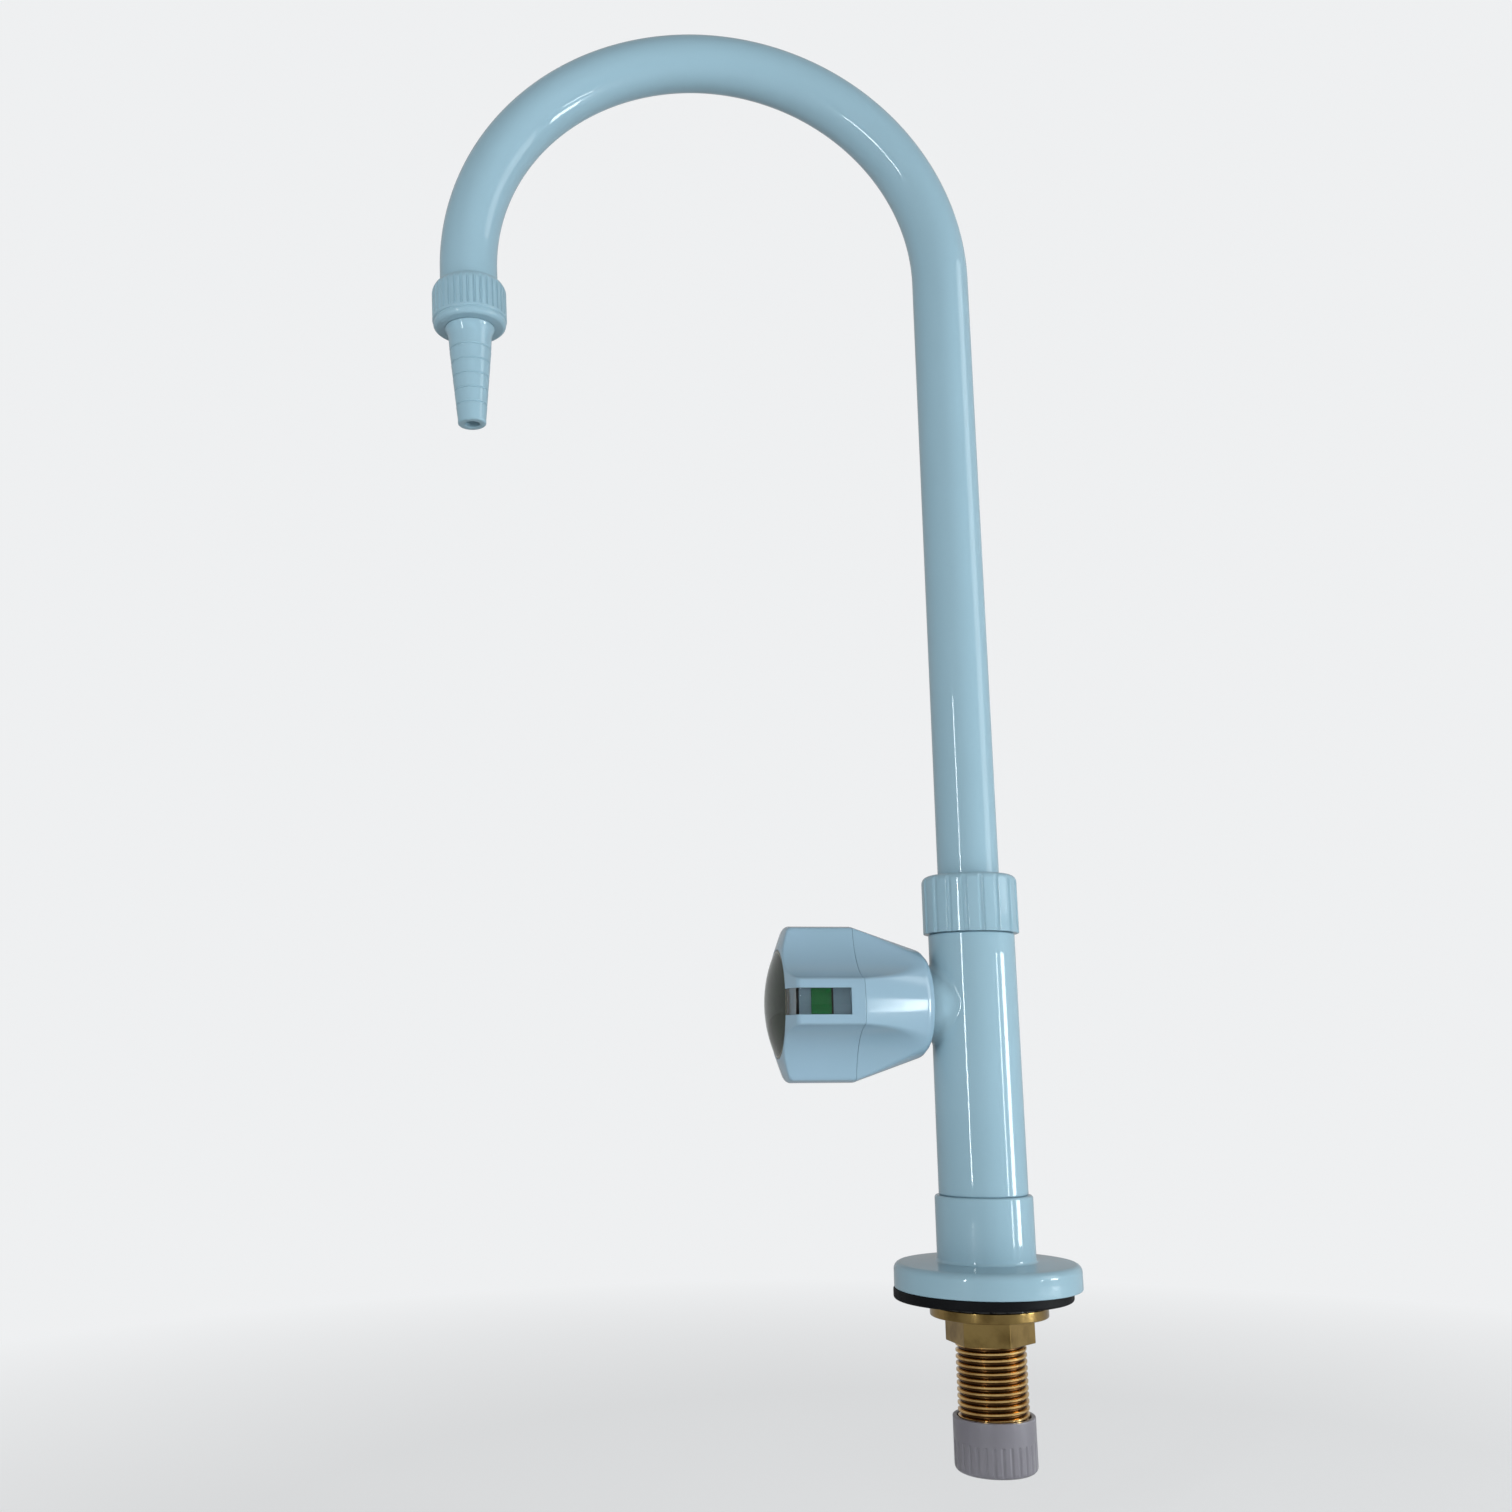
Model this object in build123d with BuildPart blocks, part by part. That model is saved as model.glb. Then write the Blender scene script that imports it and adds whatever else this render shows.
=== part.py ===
from build123d import *

import os
from math import cos, radians, sin

# Water tap with a swan neck spout, one side handle and a single threaded shank.
# The origin is where the column axis meets the deck. +Z is up, and the spout and handle point along -X.

# Deck stack under the flange
gasket_thickness = 3.0
gasket_radius = 26.75
gasket_bore = 12.6
gasket_shift = -1.6
gasket_field_radius = 21.0
gasket_field_depth = 0.4
washer_radius = 18.2
washer_thickness = 2.0
washer_slots = 24
washer_slot_radius = 0.7
washer_slot_slant = 42
nut_flange_radius = 17.6
nut_flange_thickness = 3.0
nut_across_flats = 23.0
nut_hex_height = 7.4
nut_turn = 39

# Base flange and its socket
flange_radius = 28.0
flange_edge_height = 7.2
flange_edge_fillet = 2.0
flange_foot_height = 7.7
socket_radius = 14.8
socket_height = 26.7
socket_bore = 11.5
socket_floor_height = 9.0
socket_lip_fillet = 0.8

# Threaded shank, half inch parallel pipe thread
thread_radius = 10.4775
thread_root_radius = 9.3155
thread_pitch = 1.814
thread_crest_share = 0.28
shank_end = -45.6
shank_bore = 6.2
shank_tenon_radius = 8.0
shank_tenon_length = 12.0
shank_seal_cord = 0.75

# Protective cap on the thread
cap_rim = -32.3
cap_length = 15.0
cap_radius = 12.1
cap_floor = 1.3
cap_edge_fillet = 1.6
cap_grooves = 30
cap_groove_radius = 0.6
cap_groove_depth = 0.3
cap_grooved_length = 8.6

# Column body
body_radius = 13.5
body_head = 21.6
body_edge_fillet = 0.6
body_tail_radius = 11.4
neck_radius = 12.4
neck_length = 10.0
spigot_bore = 10.3
spigot_bore_depth = 18.4
waterway_radius = 4.4
waterway_offset = 3.5
outlet_passage_radius = 3.6
outlet_passage_offset = 6.0

# Side boss that takes the headwork
handle_height = 86.8
boss_radius = 10.8
boss_reach = 15.6
boss_rim_radius = 13.9
boss_rim_thickness = 1.0
boss_flare_length = 2.2
boss_fillet = 2.5
chamber_radius = 8.3
chamber_floor = 2.2

# Fluted collar that holds the spout
collar_radius = 15.0
collar_height = 18.3
collar_lip = 4.9
collar_grooves = 18
collar_groove_radius = 0.9
collar_groove_depth = 0.45
collar_shoulder_fillet = 2.2
collar_foot_chamfer = 0.3
slip_ring_thickness = 1.2

# Swivel spigot under the spout
spigot_flange_radius = 12.1
spigot_flange_thickness = 2.0
spigot_length = 17.4
spigot_waterway = 6.5
spigot_stub_length = 9.5
spigot_groove_width = 2.2
spigot_groove_stations = (4.0, 10.0)
spigot_seal_cord = 0.76

# Swan neck tube
tube_radius = 9.7
tube_wall = 1.2
arch_radius = 82.5
arch_height = 337.5
arch_sweep = 183.0
outlet_leg = 9.7

# Outlet nut, its adapter and the hose nozzle, stations counted from the end of the tube
adapter_radius = 10.6
adapter_overlap = 2.7
adapter_length = 8.0
adapter_bore = 7.2
outlet_seal_thickness = 0.95
outlet_nut_radius = 12.5
outlet_nut_top = -3.0
outlet_nut_height = 15.5
outlet_nut_lip = 1.4
outlet_nut_shoulder = 1.8
outlet_nut_shoulder_drop = 1.2
outlet_nut_shoulder_break = 0.6
outlet_nut_rim_height = 2.6
outlet_nut_rim_groove = 0.5
outlet_nut_rim_step = 0.3
outlet_nut_foot_bevel = 0.9
outlet_nut_flutes = 36
outlet_nut_flute_depth = 0.5
outlet_nut_flute_stop = 0.8
nozzle_flange_radius = 10.4
nozzle_flange_thickness = 1.95
nozzle_neck_radius = 7.4
nozzle_neck_length = 8.0
nozzle_tip_radius = 4.7
nozzle_barbs = 5
nozzle_barb_length = 5.0
nozzle_barb_step = 0.35
nozzle_land_length = 1.2
nozzle_tip_round = 0.6
nozzle_bore = 2.5

# Handle, stations counted from the column axis along its own axis
handle_radius = 23.8
handle_rear = 16.3
handle_rear_radius = 14.2
handle_rear_bevel = 2.0
handle_heel_radius = 16.4
handle_seam = 39.8
handle_shoulder = 59.2
handle_shoulder_bevel = 1.2
handle_shoulder_drop = 0.7
handle_face = 62.7
handle_face_radius = 16.9
handle_cavity_radius = 14.6
handle_mouth_radius = 12.4
handle_web_rear = 58.0
handle_web_front = 61.0
handle_web_recess = 1.0
handle_hub_radius = 8.0
handle_hub_rear = 44.0
handle_lip_length = 3.0
handle_lip_wall = 1.3
handle_lens_edge = 0.3
scoop_radius = 19.0
scoop_floor_radius = 17.2
ridge_count = 4

# Clear index cover with its disc and label
window_width = 7.8
window_depth = 1.8
window_rear = 44.0
window_root = 1.5
lens_apex = 66.3
lens_edge_thickness = 1.0
lens_tab_root = 1.0
index_disc_thickness = 0.6
label_length = 6.6
label_rear = 49.4
label_thickness = 0.3

# Ceramic headwork and its spindle
headwork_radius = 8.2
headwork_bore = 6.6
headwork_across_flats = 18.0
headwork_hex_length = 5.0
headwork_neck_radius = 7.0
headwork_end = 31.0
headwork_window_start = 4.2
headwork_window_length = 4.6
headwork_window_width = 8.0
headwork_seal_cord = 0.7
disc_radius = 6.4
disc_thickness = 1.9
disc_port_radius = 1.9
disc_port_offset = 2.9
seat_seal_thickness = 1.2
driver_thickness = 2.4
spindle_radius = 3.9
spindle_end = 56.0
spindle_seal_cord = 0.6
spindle_groove_width = 1.5
spindle_groove_stations = (14.0, 19.0)
spindle_clip_thickness = 0.9
spindle_clip_radius = 5.6
spindle_clip_groove = 0.6
spline_teeth = 20
spline_depth = 0.3
spline_rear = 45.0
insert_radius = 5.9
screw_radius = 2.0
screw_head_radius = 3.7
screw_head_height = 2.0
screw_length = 11.0
screw_slot_width = 1.0
screw_slot_depth = 0.9
screw_slot_short = 4.4

# Clearances
running_gap = 0.08
seat_gap = 0.05
assembly_gap = 0.1
moving_gap = 0.3
cut_margin = 1.0

# Heights that follow from the sizes above
flange_underside = gasket_thickness
socket_top = flange_underside + socket_height
socket_floor = flange_underside + socket_floor_height
body_top = handle_height + body_head
neck_top = body_top + neck_length
spigot_bore_floor = neck_top - spigot_bore_depth
spigot_shoulder = neck_top + assembly_gap
tube_foot = spigot_shoulder + spigot_flange_thickness
collar_base = body_top + assembly_gap
collar_top = collar_base + collar_height
collar_lip_base = collar_top - collar_lip
washer_top = gasket_field_depth - assembly_gap
washer_base = washer_top - washer_thickness
nut_top = washer_base - seat_gap
nut_flange_base = nut_top - nut_flange_thickness
nut_base = nut_flange_base - nut_hex_height
cap_base = cap_rim - cap_length
tube_bore = tube_radius - tube_wall

# Frames of the side handle and of the outlet
handle_centre = (0, 0, handle_height)
handle_axis = Axis(handle_centre, (-1, 0, 0))
handle_section = Plane(origin=handle_centre, x_dir=(0, 0, 1), z_dir=(0, -1, 0))
handle_cross = Plane(origin=handle_centre, x_dir=(0, -1, 0), z_dir=(-1, 0, 0))
window_section = Plane(origin=handle_centre, x_dir=(0, -1, 0), z_dir=(0, 0, -1))

lean = radians(arch_sweep - 180)
arch_end = (-arch_radius * (1 + cos(lean)), arch_height - arch_radius * sin(lean))
outlet_direction = (sin(lean), 0, -cos(lean))
tube_end = (
    arch_end[0] + outlet_leg * outlet_direction[0],
    0,
    arch_end[1] + outlet_leg * outlet_direction[2],
)
outlet_axis = Axis(tube_end, outlet_direction)
outlet_section = Plane(origin=tube_end, x_dir=(cos(lean), 0, sin(lean)), z_dir=(0, 1, 0))
outlet_cross = Plane(origin=tube_end, x_dir=(cos(lean), 0, sin(lean)), z_dir=outlet_direction)


def outline_face(plane, *points):
    """The face inside an outline of (radius, station) points on a plane."""
    with BuildSketch(plane) as face:
        with BuildLine():
            Polyline(*points, close=True)
        make_face()
    return face.sketch


def ring_face(plane, inner, outer, start, end):
    """A rectangular ring section between two radii and two stations."""
    return outline_face(plane, (inner, start), (outer, start), (outer, end), (inner, end))


def cord_face(plane, centre_radius, station, cord_radius):
    """The round section of a seal ring."""
    with BuildSketch(plane) as face:
        with Locations((centre_radius, station)):
            Circle(cord_radius)
    return face.sketch


# Fixed pieces on the column

with BuildPart() as deck_gasket:
    revolve(ring_face(Plane.XZ, gasket_bore, gasket_radius, 0, gasket_thickness), axis=Axis.Z)
    field = ring_face(Plane.XZ, 0, gasket_field_radius, 0, gasket_field_depth)
    revolve(field, axis=Axis.Z, mode=Mode.SUBTRACT)
deck_gasket.part.position = (gasket_shift, 0, 0)

flange_bore = thread_radius + assembly_gap
flange_edge_top = flange_underside + flange_edge_height
flange_foot = flange_underside + flange_foot_height
with BuildPart() as base_flange:
    revolve(
        outline_face(
            Plane.XZ,
            (flange_bore, flange_underside),
            (flange_radius, flange_underside),
            (flange_radius, flange_edge_top),
            (socket_radius, flange_foot),
            (socket_radius, socket_top),
            (socket_bore, socket_top),
            (socket_bore, socket_floor),
            (flange_bore, socket_floor),
        ),
        axis=Axis.Z,
    )
    rims = base_flange.edges().filter_by(GeomType.CIRCLE)
    fillet(rims.filter_by(lambda e: abs(e.radius - flange_radius) < 0.01).sort_by(Axis.Z)[-1],
           flange_edge_fillet)
    lip = base_flange.edges().filter_by(GeomType.CIRCLE).group_by(Axis.Z)[-1]
    fillet(lip.sort_by(lambda e: e.radius)[-1], socket_lip_fillet)

thread_lines = [(shank_bore, shank_end), (thread_root_radius, shank_end)]
thread_turns = int((socket_floor - shank_end) / thread_pitch) - 1
crest = thread_pitch * thread_crest_share
flank = (thread_pitch - 2 * crest) / 2
for turn in range(thread_turns):
    start = shank_end + flank + turn * thread_pitch
    thread_lines += [
        (thread_radius, start),
        (thread_radius, start + crest),
        (thread_root_radius, start + crest + flank),
        (thread_root_radius, start + 2 * crest + flank),
    ]
shank_shoulder = socket_floor - seat_gap
with BuildPart() as threaded_shank:
    revolve(
        outline_face(
            Plane.XZ,
            *thread_lines,
            (thread_radius, shank_end + 2 * flank + thread_turns * thread_pitch),
            (thread_radius, shank_shoulder),
            (shank_tenon_radius, shank_shoulder),
            (shank_tenon_radius, socket_floor + shank_tenon_length),
            (shank_bore, socket_floor + shank_tenon_length),
        ),
        axis=Axis.Z,
    )

body_socket_radius = shank_tenon_radius + seat_gap
body_socket_top = socket_floor + shank_tenon_length + assembly_gap
seal_seat_radius = body_socket_radius + 2 * shank_seal_cord
with BuildPart() as column_body:
    revolve(
        outline_face(
            Plane.XZ,
            (0, socket_floor),
            (body_tail_radius, socket_floor),
            (body_tail_radius, socket_top),
            (body_radius, socket_top),
            (body_radius, body_top),
            (neck_radius, body_top),
            (neck_radius, neck_top),
            (0, neck_top),
        ),
        axis=Axis.Z,
    )
    body_rims = column_body.edges().filter_by(GeomType.CIRCLE)
    fillet(body_rims.filter_by(lambda e: abs(e.radius - body_radius) < 0.01), body_edge_fillet)
    skin = column_body.edges()
    with BuildSketch(handle_cross):
        Circle(boss_radius)
    extrude(amount=boss_reach)
    boss_root = (column_body.edges() - skin).filter_by(lambda e: e.geom_type != GeomType.CIRCLE)
    fillet(boss_root.filter_by(lambda e: e.center().X < 0), boss_fillet)
    revolve(
        outline_face(
            handle_section,
            (0, boss_reach - boss_flare_length - boss_rim_thickness),
            (boss_radius, boss_reach - boss_flare_length - boss_rim_thickness),
            (boss_rim_radius, boss_reach - boss_rim_thickness),
            (boss_rim_radius, boss_reach),
            (0, boss_reach),
        ),
        axis=handle_axis,
    )
    chamber = ring_face(handle_section, 0, chamber_radius, chamber_floor, boss_reach)
    revolve(chamber, axis=handle_axis, mode=Mode.SUBTRACT)
    seat_port = ring_face(handle_section, 0, waterway_radius, -waterway_offset, chamber_floor)
    revolve(seat_port, axis=handle_axis, mode=Mode.SUBTRACT)
    with BuildSketch(Plane.XY.offset(socket_floor)):
        Circle(body_socket_radius)
    extrude(amount=body_socket_top - socket_floor, mode=Mode.SUBTRACT)
    with BuildSketch(Plane.XY.offset(socket_floor)):
        Circle(seal_seat_radius)
    extrude(amount=2 * shank_seal_cord, mode=Mode.SUBTRACT)
    with BuildSketch(Plane.XY.offset(body_socket_top)):
        with Locations((waterway_offset, 0)):
            Circle(waterway_radius)
    extrude(amount=handle_height - body_socket_top, mode=Mode.SUBTRACT)
    with BuildSketch(Plane.XY.offset(handle_height)):
        with Locations((-outlet_passage_offset, 0)):
            Circle(outlet_passage_radius)
    extrude(amount=spigot_bore_floor - handle_height, mode=Mode.SUBTRACT)
    with BuildSketch(Plane.XY.offset(spigot_bore_floor)):
        Circle(spigot_bore)
    extrude(amount=spigot_bore_depth, mode=Mode.SUBTRACT)

with BuildPart() as shank_seal:
    seal_centre = shank_tenon_radius + shank_seal_cord + seat_gap
    seal_cord = shank_seal_cord - seat_gap
    revolve(cord_face(Plane.XZ, seal_centre, socket_floor + shank_seal_cord, seal_cord), axis=Axis.Z)

collar_bore = neck_radius + assembly_gap
lip_bore = tube_radius + running_gap
with BuildPart() as swivel_collar:
    revolve(
        outline_face(
            Plane.XZ,
            (collar_bore, collar_base),
            (collar_radius, collar_base),
            (collar_radius, collar_top),
            (lip_bore, collar_top),
            (lip_bore, collar_lip_base),
            (collar_bore, collar_lip_base),
        ),
        axis=Axis.Z,
    )
    collar_edges = swivel_collar.edges().filter_by(GeomType.CIRCLE)
    collar_rims = collar_edges.filter_by(lambda e: abs(e.radius - collar_radius) < 0.01).sort_by(Axis.Z)
    fillet(collar_rims[-1], collar_shoulder_fillet)
    chamfer(collar_rims[0], collar_foot_chamfer)
    with BuildSketch(Plane.XY.offset(collar_base)):
        with PolarLocations(collar_radius + collar_groove_radius - collar_groove_depth, collar_grooves):
            Circle(collar_groove_radius)
    extrude(amount=collar_height, mode=Mode.SUBTRACT)

slip_ring_base = tube_foot + assembly_gap
with BuildPart() as slip_ring:
    slip_ring_top = slip_ring_base + slip_ring_thickness
    slip_section = ring_face(Plane.XZ, lip_bore, neck_radius, slip_ring_base, slip_ring_top)
    revolve(slip_section, axis=Axis.Z)

# Spout

spigot_radius = spigot_bore - running_gap
spigot_base = spigot_shoulder - spigot_length
stub_radius = tube_bore - seat_gap
spigot_cord_centre = spigot_bore - spigot_seal_cord - running_gap
spigot_groove_floor = spigot_cord_centre - spigot_seal_cord - seat_gap
with BuildPart() as swivel_spigot:
    revolve(
        outline_face(
            Plane.XZ,
            (spigot_waterway, spigot_base),
            (spigot_radius, spigot_base),
            (spigot_radius, spigot_shoulder),
            (spigot_flange_radius, spigot_shoulder),
            (spigot_flange_radius, tube_foot),
            (stub_radius, tube_foot),
            (stub_radius, tube_foot + spigot_stub_length),
            (spigot_waterway, tube_foot + spigot_stub_length),
        ),
        axis=Axis.Z,
    )
    for station in spigot_groove_stations:
        low = spigot_base + station
        groove = ring_face(Plane.XZ, spigot_groove_floor, spigot_bore, low, low + spigot_groove_width)
        revolve(groove, axis=Axis.Z, mode=Mode.SUBTRACT)

with BuildPart() as spigot_seals:
    for station in spigot_groove_stations:
        centre = spigot_base + station + spigot_groove_width / 2
        revolve(cord_face(Plane.XZ, spigot_cord_centre, centre, spigot_seal_cord), axis=Axis.Z)

with BuildPart() as gooseneck_tube:
    with BuildLine(Plane.XZ) as tube_path:
        leg = Line((0, tube_foot + seat_gap), (0, arch_height))
        arch = JernArc(start=leg @ 1, tangent=leg % 1, radius=arch_radius, arc_size=arch_sweep)
        Line(arch @ 1, arch @ 1 + (arch % 1) * outlet_leg)
    with BuildSketch(Plane.XY.offset(tube_foot + seat_gap)):
        Circle(tube_radius)
        Circle(tube_bore, mode=Mode.SUBTRACT)
    sweep(path=tube_path.line)

with BuildPart() as outlet_adapter:
    sleeve_bore = tube_radius + seat_gap
    revolve(
        outline_face(
            outlet_section,
            (sleeve_bore, -adapter_overlap),
            (adapter_radius, -adapter_overlap),
            (adapter_radius, adapter_length),
            (adapter_bore, adapter_length),
            (adapter_bore, seat_gap),
            (sleeve_bore, seat_gap),
        ),
        axis=outlet_axis,
    )

outlet_seal_start = adapter_length + seat_gap
outlet_seal_end = outlet_seal_start + outlet_seal_thickness
with BuildPart() as outlet_seal:
    outlet_seal_section = ring_face(outlet_section, adapter_bore + assembly_gap, nozzle_flange_radius,
                                    outlet_seal_start, outlet_seal_end)
    revolve(outlet_seal_section, axis=outlet_axis)

outlet_nut_end = outlet_nut_top + outlet_nut_height
outlet_nut_floor = outlet_nut_end - outlet_nut_lip
outlet_nut_bore = adapter_radius + seat_gap
outlet_rim_start = outlet_nut_end - outlet_nut_rim_height
outlet_rim_radius = outlet_nut_radius - outlet_nut_rim_step
flute_start = outlet_nut_top + outlet_nut_shoulder
with BuildPart() as outlet_nut:
    revolve(
        outline_face(
            outlet_section,
            (outlet_nut_bore, outlet_nut_top),
            (outlet_nut_radius - outlet_nut_shoulder_drop, outlet_nut_top),
            (outlet_nut_radius - outlet_nut_shoulder_drop / 3, outlet_nut_top + outlet_nut_shoulder_break),
            (outlet_nut_radius, flute_start),
            (outlet_nut_radius, outlet_rim_start),
            (outlet_nut_radius - outlet_nut_rim_groove, outlet_rim_start + outlet_nut_rim_step),
            (outlet_rim_radius, outlet_rim_start + 2 * outlet_nut_rim_step),
            (outlet_rim_radius, outlet_nut_end - outlet_nut_foot_bevel),
            (outlet_rim_radius - outlet_nut_foot_bevel, outlet_nut_end),
            (nozzle_neck_radius + assembly_gap, outlet_nut_end),
            (nozzle_neck_radius + assembly_gap, outlet_nut_floor),
            (outlet_nut_bore, outlet_nut_floor),
        ),
        axis=outlet_axis,
    )
    with BuildSketch(outlet_cross.offset(flute_start)):
        with PolarLocations(outlet_nut_radius, outlet_nut_flutes):
            Circle(outlet_nut_flute_depth)
    extrude(amount=outlet_rim_start - outlet_nut_flute_stop - flute_start, mode=Mode.SUBTRACT)

nozzle_start = outlet_seal_end + seat_gap
nozzle_flange_end = nozzle_start + nozzle_flange_thickness
nozzle_root = outlet_nut_end + nozzle_neck_length
nozzle_lines = [
    (nozzle_bore, nozzle_start),
    (nozzle_flange_radius, nozzle_start),
    (nozzle_flange_radius, nozzle_flange_end),
    (nozzle_neck_radius, nozzle_flange_end),
    (nozzle_neck_radius, outlet_nut_end),
]
barb_fall = (nozzle_neck_radius - nozzle_tip_radius) / (nozzle_barbs + 1)
nozzle_lines.append((nozzle_neck_radius - barb_fall, nozzle_root))
for barb in range(nozzle_barbs):
    crest_radius = nozzle_neck_radius - barb_fall * (barb + 1)
    station = nozzle_root + barb * nozzle_barb_length
    nozzle_lines += [
        (crest_radius - nozzle_barb_step, station + nozzle_barb_step),
        (crest_radius, station + 2 * nozzle_barb_step),
        (crest_radius - barb_fall, station + nozzle_barb_length),
    ]
nozzle_land_start = nozzle_root + nozzle_barbs * nozzle_barb_length
nozzle_end = nozzle_land_start + nozzle_land_length + nozzle_tip_round
nozzle_lines += [
    (nozzle_tip_radius, nozzle_end - nozzle_tip_round),
    (nozzle_tip_radius - nozzle_tip_round, nozzle_end),
    (nozzle_bore, nozzle_end),
]
with BuildPart() as hose_nozzle:
    revolve(outline_face(outlet_section, *nozzle_lines), axis=outlet_axis)

# Headwork, fixed in the side boss

headwork_hex_start = boss_reach + 2 * headwork_seal_cord
headwork_hex_end = headwork_hex_start + headwork_hex_length
headwork_start = chamber_floor + seat_seal_thickness
fixed_disc_start = headwork_start + seat_gap
moving_disc_start = fixed_disc_start + disc_thickness + seat_gap
driver_start = moving_disc_start + disc_thickness + seat_gap
driver_end = driver_start + driver_thickness
headwork_bore_end = driver_end + seat_gap
spindle_bore = spindle_radius + running_gap
with BuildPart() as headwork_body:
    revolve(
        outline_face(
            handle_section,
            (headwork_bore, headwork_start),
            (headwork_radius, headwork_start),
            (headwork_radius, headwork_hex_start),
            (headwork_neck_radius, headwork_hex_start),
            (headwork_neck_radius, headwork_end),
            (spindle_bore, headwork_end),
            (spindle_bore, headwork_bore_end),
            (headwork_bore, headwork_bore_end),
        ),
        axis=handle_axis,
    )
    with BuildSketch(handle_cross.offset(headwork_hex_start)):
        RegularPolygon(headwork_across_flats / 2, 6, major_radius=False)
        Circle(spindle_bore, mode=Mode.SUBTRACT)
    extrude(amount=headwork_hex_length)
    with BuildSketch(handle_cross.offset(headwork_window_start)):
        Rectangle(headwork_window_width, 2 * headwork_across_flats)
    extrude(amount=headwork_window_length, mode=Mode.SUBTRACT)

with BuildPart() as headwork_seal:
    seal_section = cord_face(handle_section, headwork_radius + headwork_seal_cord + seat_gap,
                             boss_reach + headwork_seal_cord, headwork_seal_cord - seat_gap)
    revolve(seal_section, axis=handle_axis)

with BuildPart() as seat_seal:
    seat_seal_end = headwork_start - seat_gap
    seat_section = ring_face(handle_section, waterway_radius, headwork_radius,
                             chamber_floor + seat_gap, seat_seal_end)
    revolve(seat_section, axis=handle_axis)

with BuildPart() as fixed_disc:
    with BuildSketch(handle_cross.offset(fixed_disc_start)):
        Circle(disc_radius)
        with PolarLocations(0, 2, start_angle=0):
            with Locations((disc_port_offset, 0)):
                Circle(disc_port_radius, mode=Mode.SUBTRACT)
    extrude(amount=disc_thickness)

with BuildPart() as moving_disc:
    with BuildSketch(handle_cross.offset(moving_disc_start)):
        Circle(disc_radius - running_gap)
        with PolarLocations(0, 2, start_angle=90):
            with Locations((disc_port_offset, 0)):
                Circle(disc_port_radius, mode=Mode.SUBTRACT)
    extrude(amount=disc_thickness)

# Spindle and what it carries

spline_root = spindle_radius + spline_depth / 3
spindle_cord_centre = spindle_bore - spindle_seal_cord - seat_gap
spindle_groove_floor = spindle_cord_centre - spindle_seal_cord - seat_gap
with BuildPart() as spindle:
    revolve(
        outline_face(
            handle_section,
            (0, driver_start),
            (disc_radius - 2 * running_gap, driver_start),
            (disc_radius - 2 * running_gap, driver_end),
            (spindle_radius, driver_end),
            (spindle_radius, spindle_end),
            (0, spindle_end),
        ),
        axis=handle_axis,
    )
    for station in spindle_groove_stations:
        groove = ring_face(handle_section, spindle_groove_floor, spindle_bore,
                           station, station + spindle_groove_width)
        revolve(groove, axis=handle_axis, mode=Mode.SUBTRACT)
    clip_groove_start = headwork_end + moving_gap
    clip_groove = ring_face(handle_section, spindle_radius - spindle_clip_groove, spindle_bore,
                            clip_groove_start, clip_groove_start + spindle_clip_thickness)
    revolve(clip_groove, axis=handle_axis, mode=Mode.SUBTRACT)
    with BuildSketch(handle_cross.offset(spline_rear)):
        with PolarLocations(spline_root, spline_teeth):
            Circle(spline_depth)
    extrude(amount=spindle_end - spline_rear, mode=Mode.SUBTRACT)
    screw_start = handle_web_front - screw_head_height
    with BuildSketch(handle_cross.offset(screw_start - screw_length - assembly_gap)):
        Circle(screw_radius + seat_gap)
    extrude(amount=screw_length, mode=Mode.SUBTRACT)

with BuildPart() as spindle_seals:
    for station in spindle_groove_stations:
        centre = station + spindle_groove_width / 2
        seal_section = cord_face(handle_section, spindle_cord_centre, centre, spindle_seal_cord)
        revolve(seal_section, axis=handle_axis)

with BuildPart() as spindle_clip:
    clip_inner = spindle_radius - spindle_clip_groove + seat_gap
    with BuildSketch(handle_cross.offset(clip_groove_start + seat_gap)):
        Circle(spindle_clip_radius)
        Circle(clip_inner, mode=Mode.SUBTRACT)
        with Locations((0, -spindle_clip_radius)):
            Rectangle(clip_inner, 2 * spindle_clip_radius, mode=Mode.SUBTRACT)
    extrude(amount=spindle_clip_thickness - 2 * seat_gap)

insert_bore = spindle_radius + seat_gap
with BuildPart() as spline_insert:
    insert_section = ring_face(handle_section, insert_bore, insert_radius,
                               spline_rear, handle_web_rear - seat_gap)
    revolve(insert_section, axis=handle_axis)

# Handle in two mouldings

scoop_centre = scoop_floor_radius + scoop_radius
half_ridge = 360 / ridge_count / 2
with BuildSketch(handle_cross.offset(handle_rear)) as scoops:
    with PolarLocations(scoop_centre, ridge_count, start_angle=half_ridge):
        Circle(scoop_radius)

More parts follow.
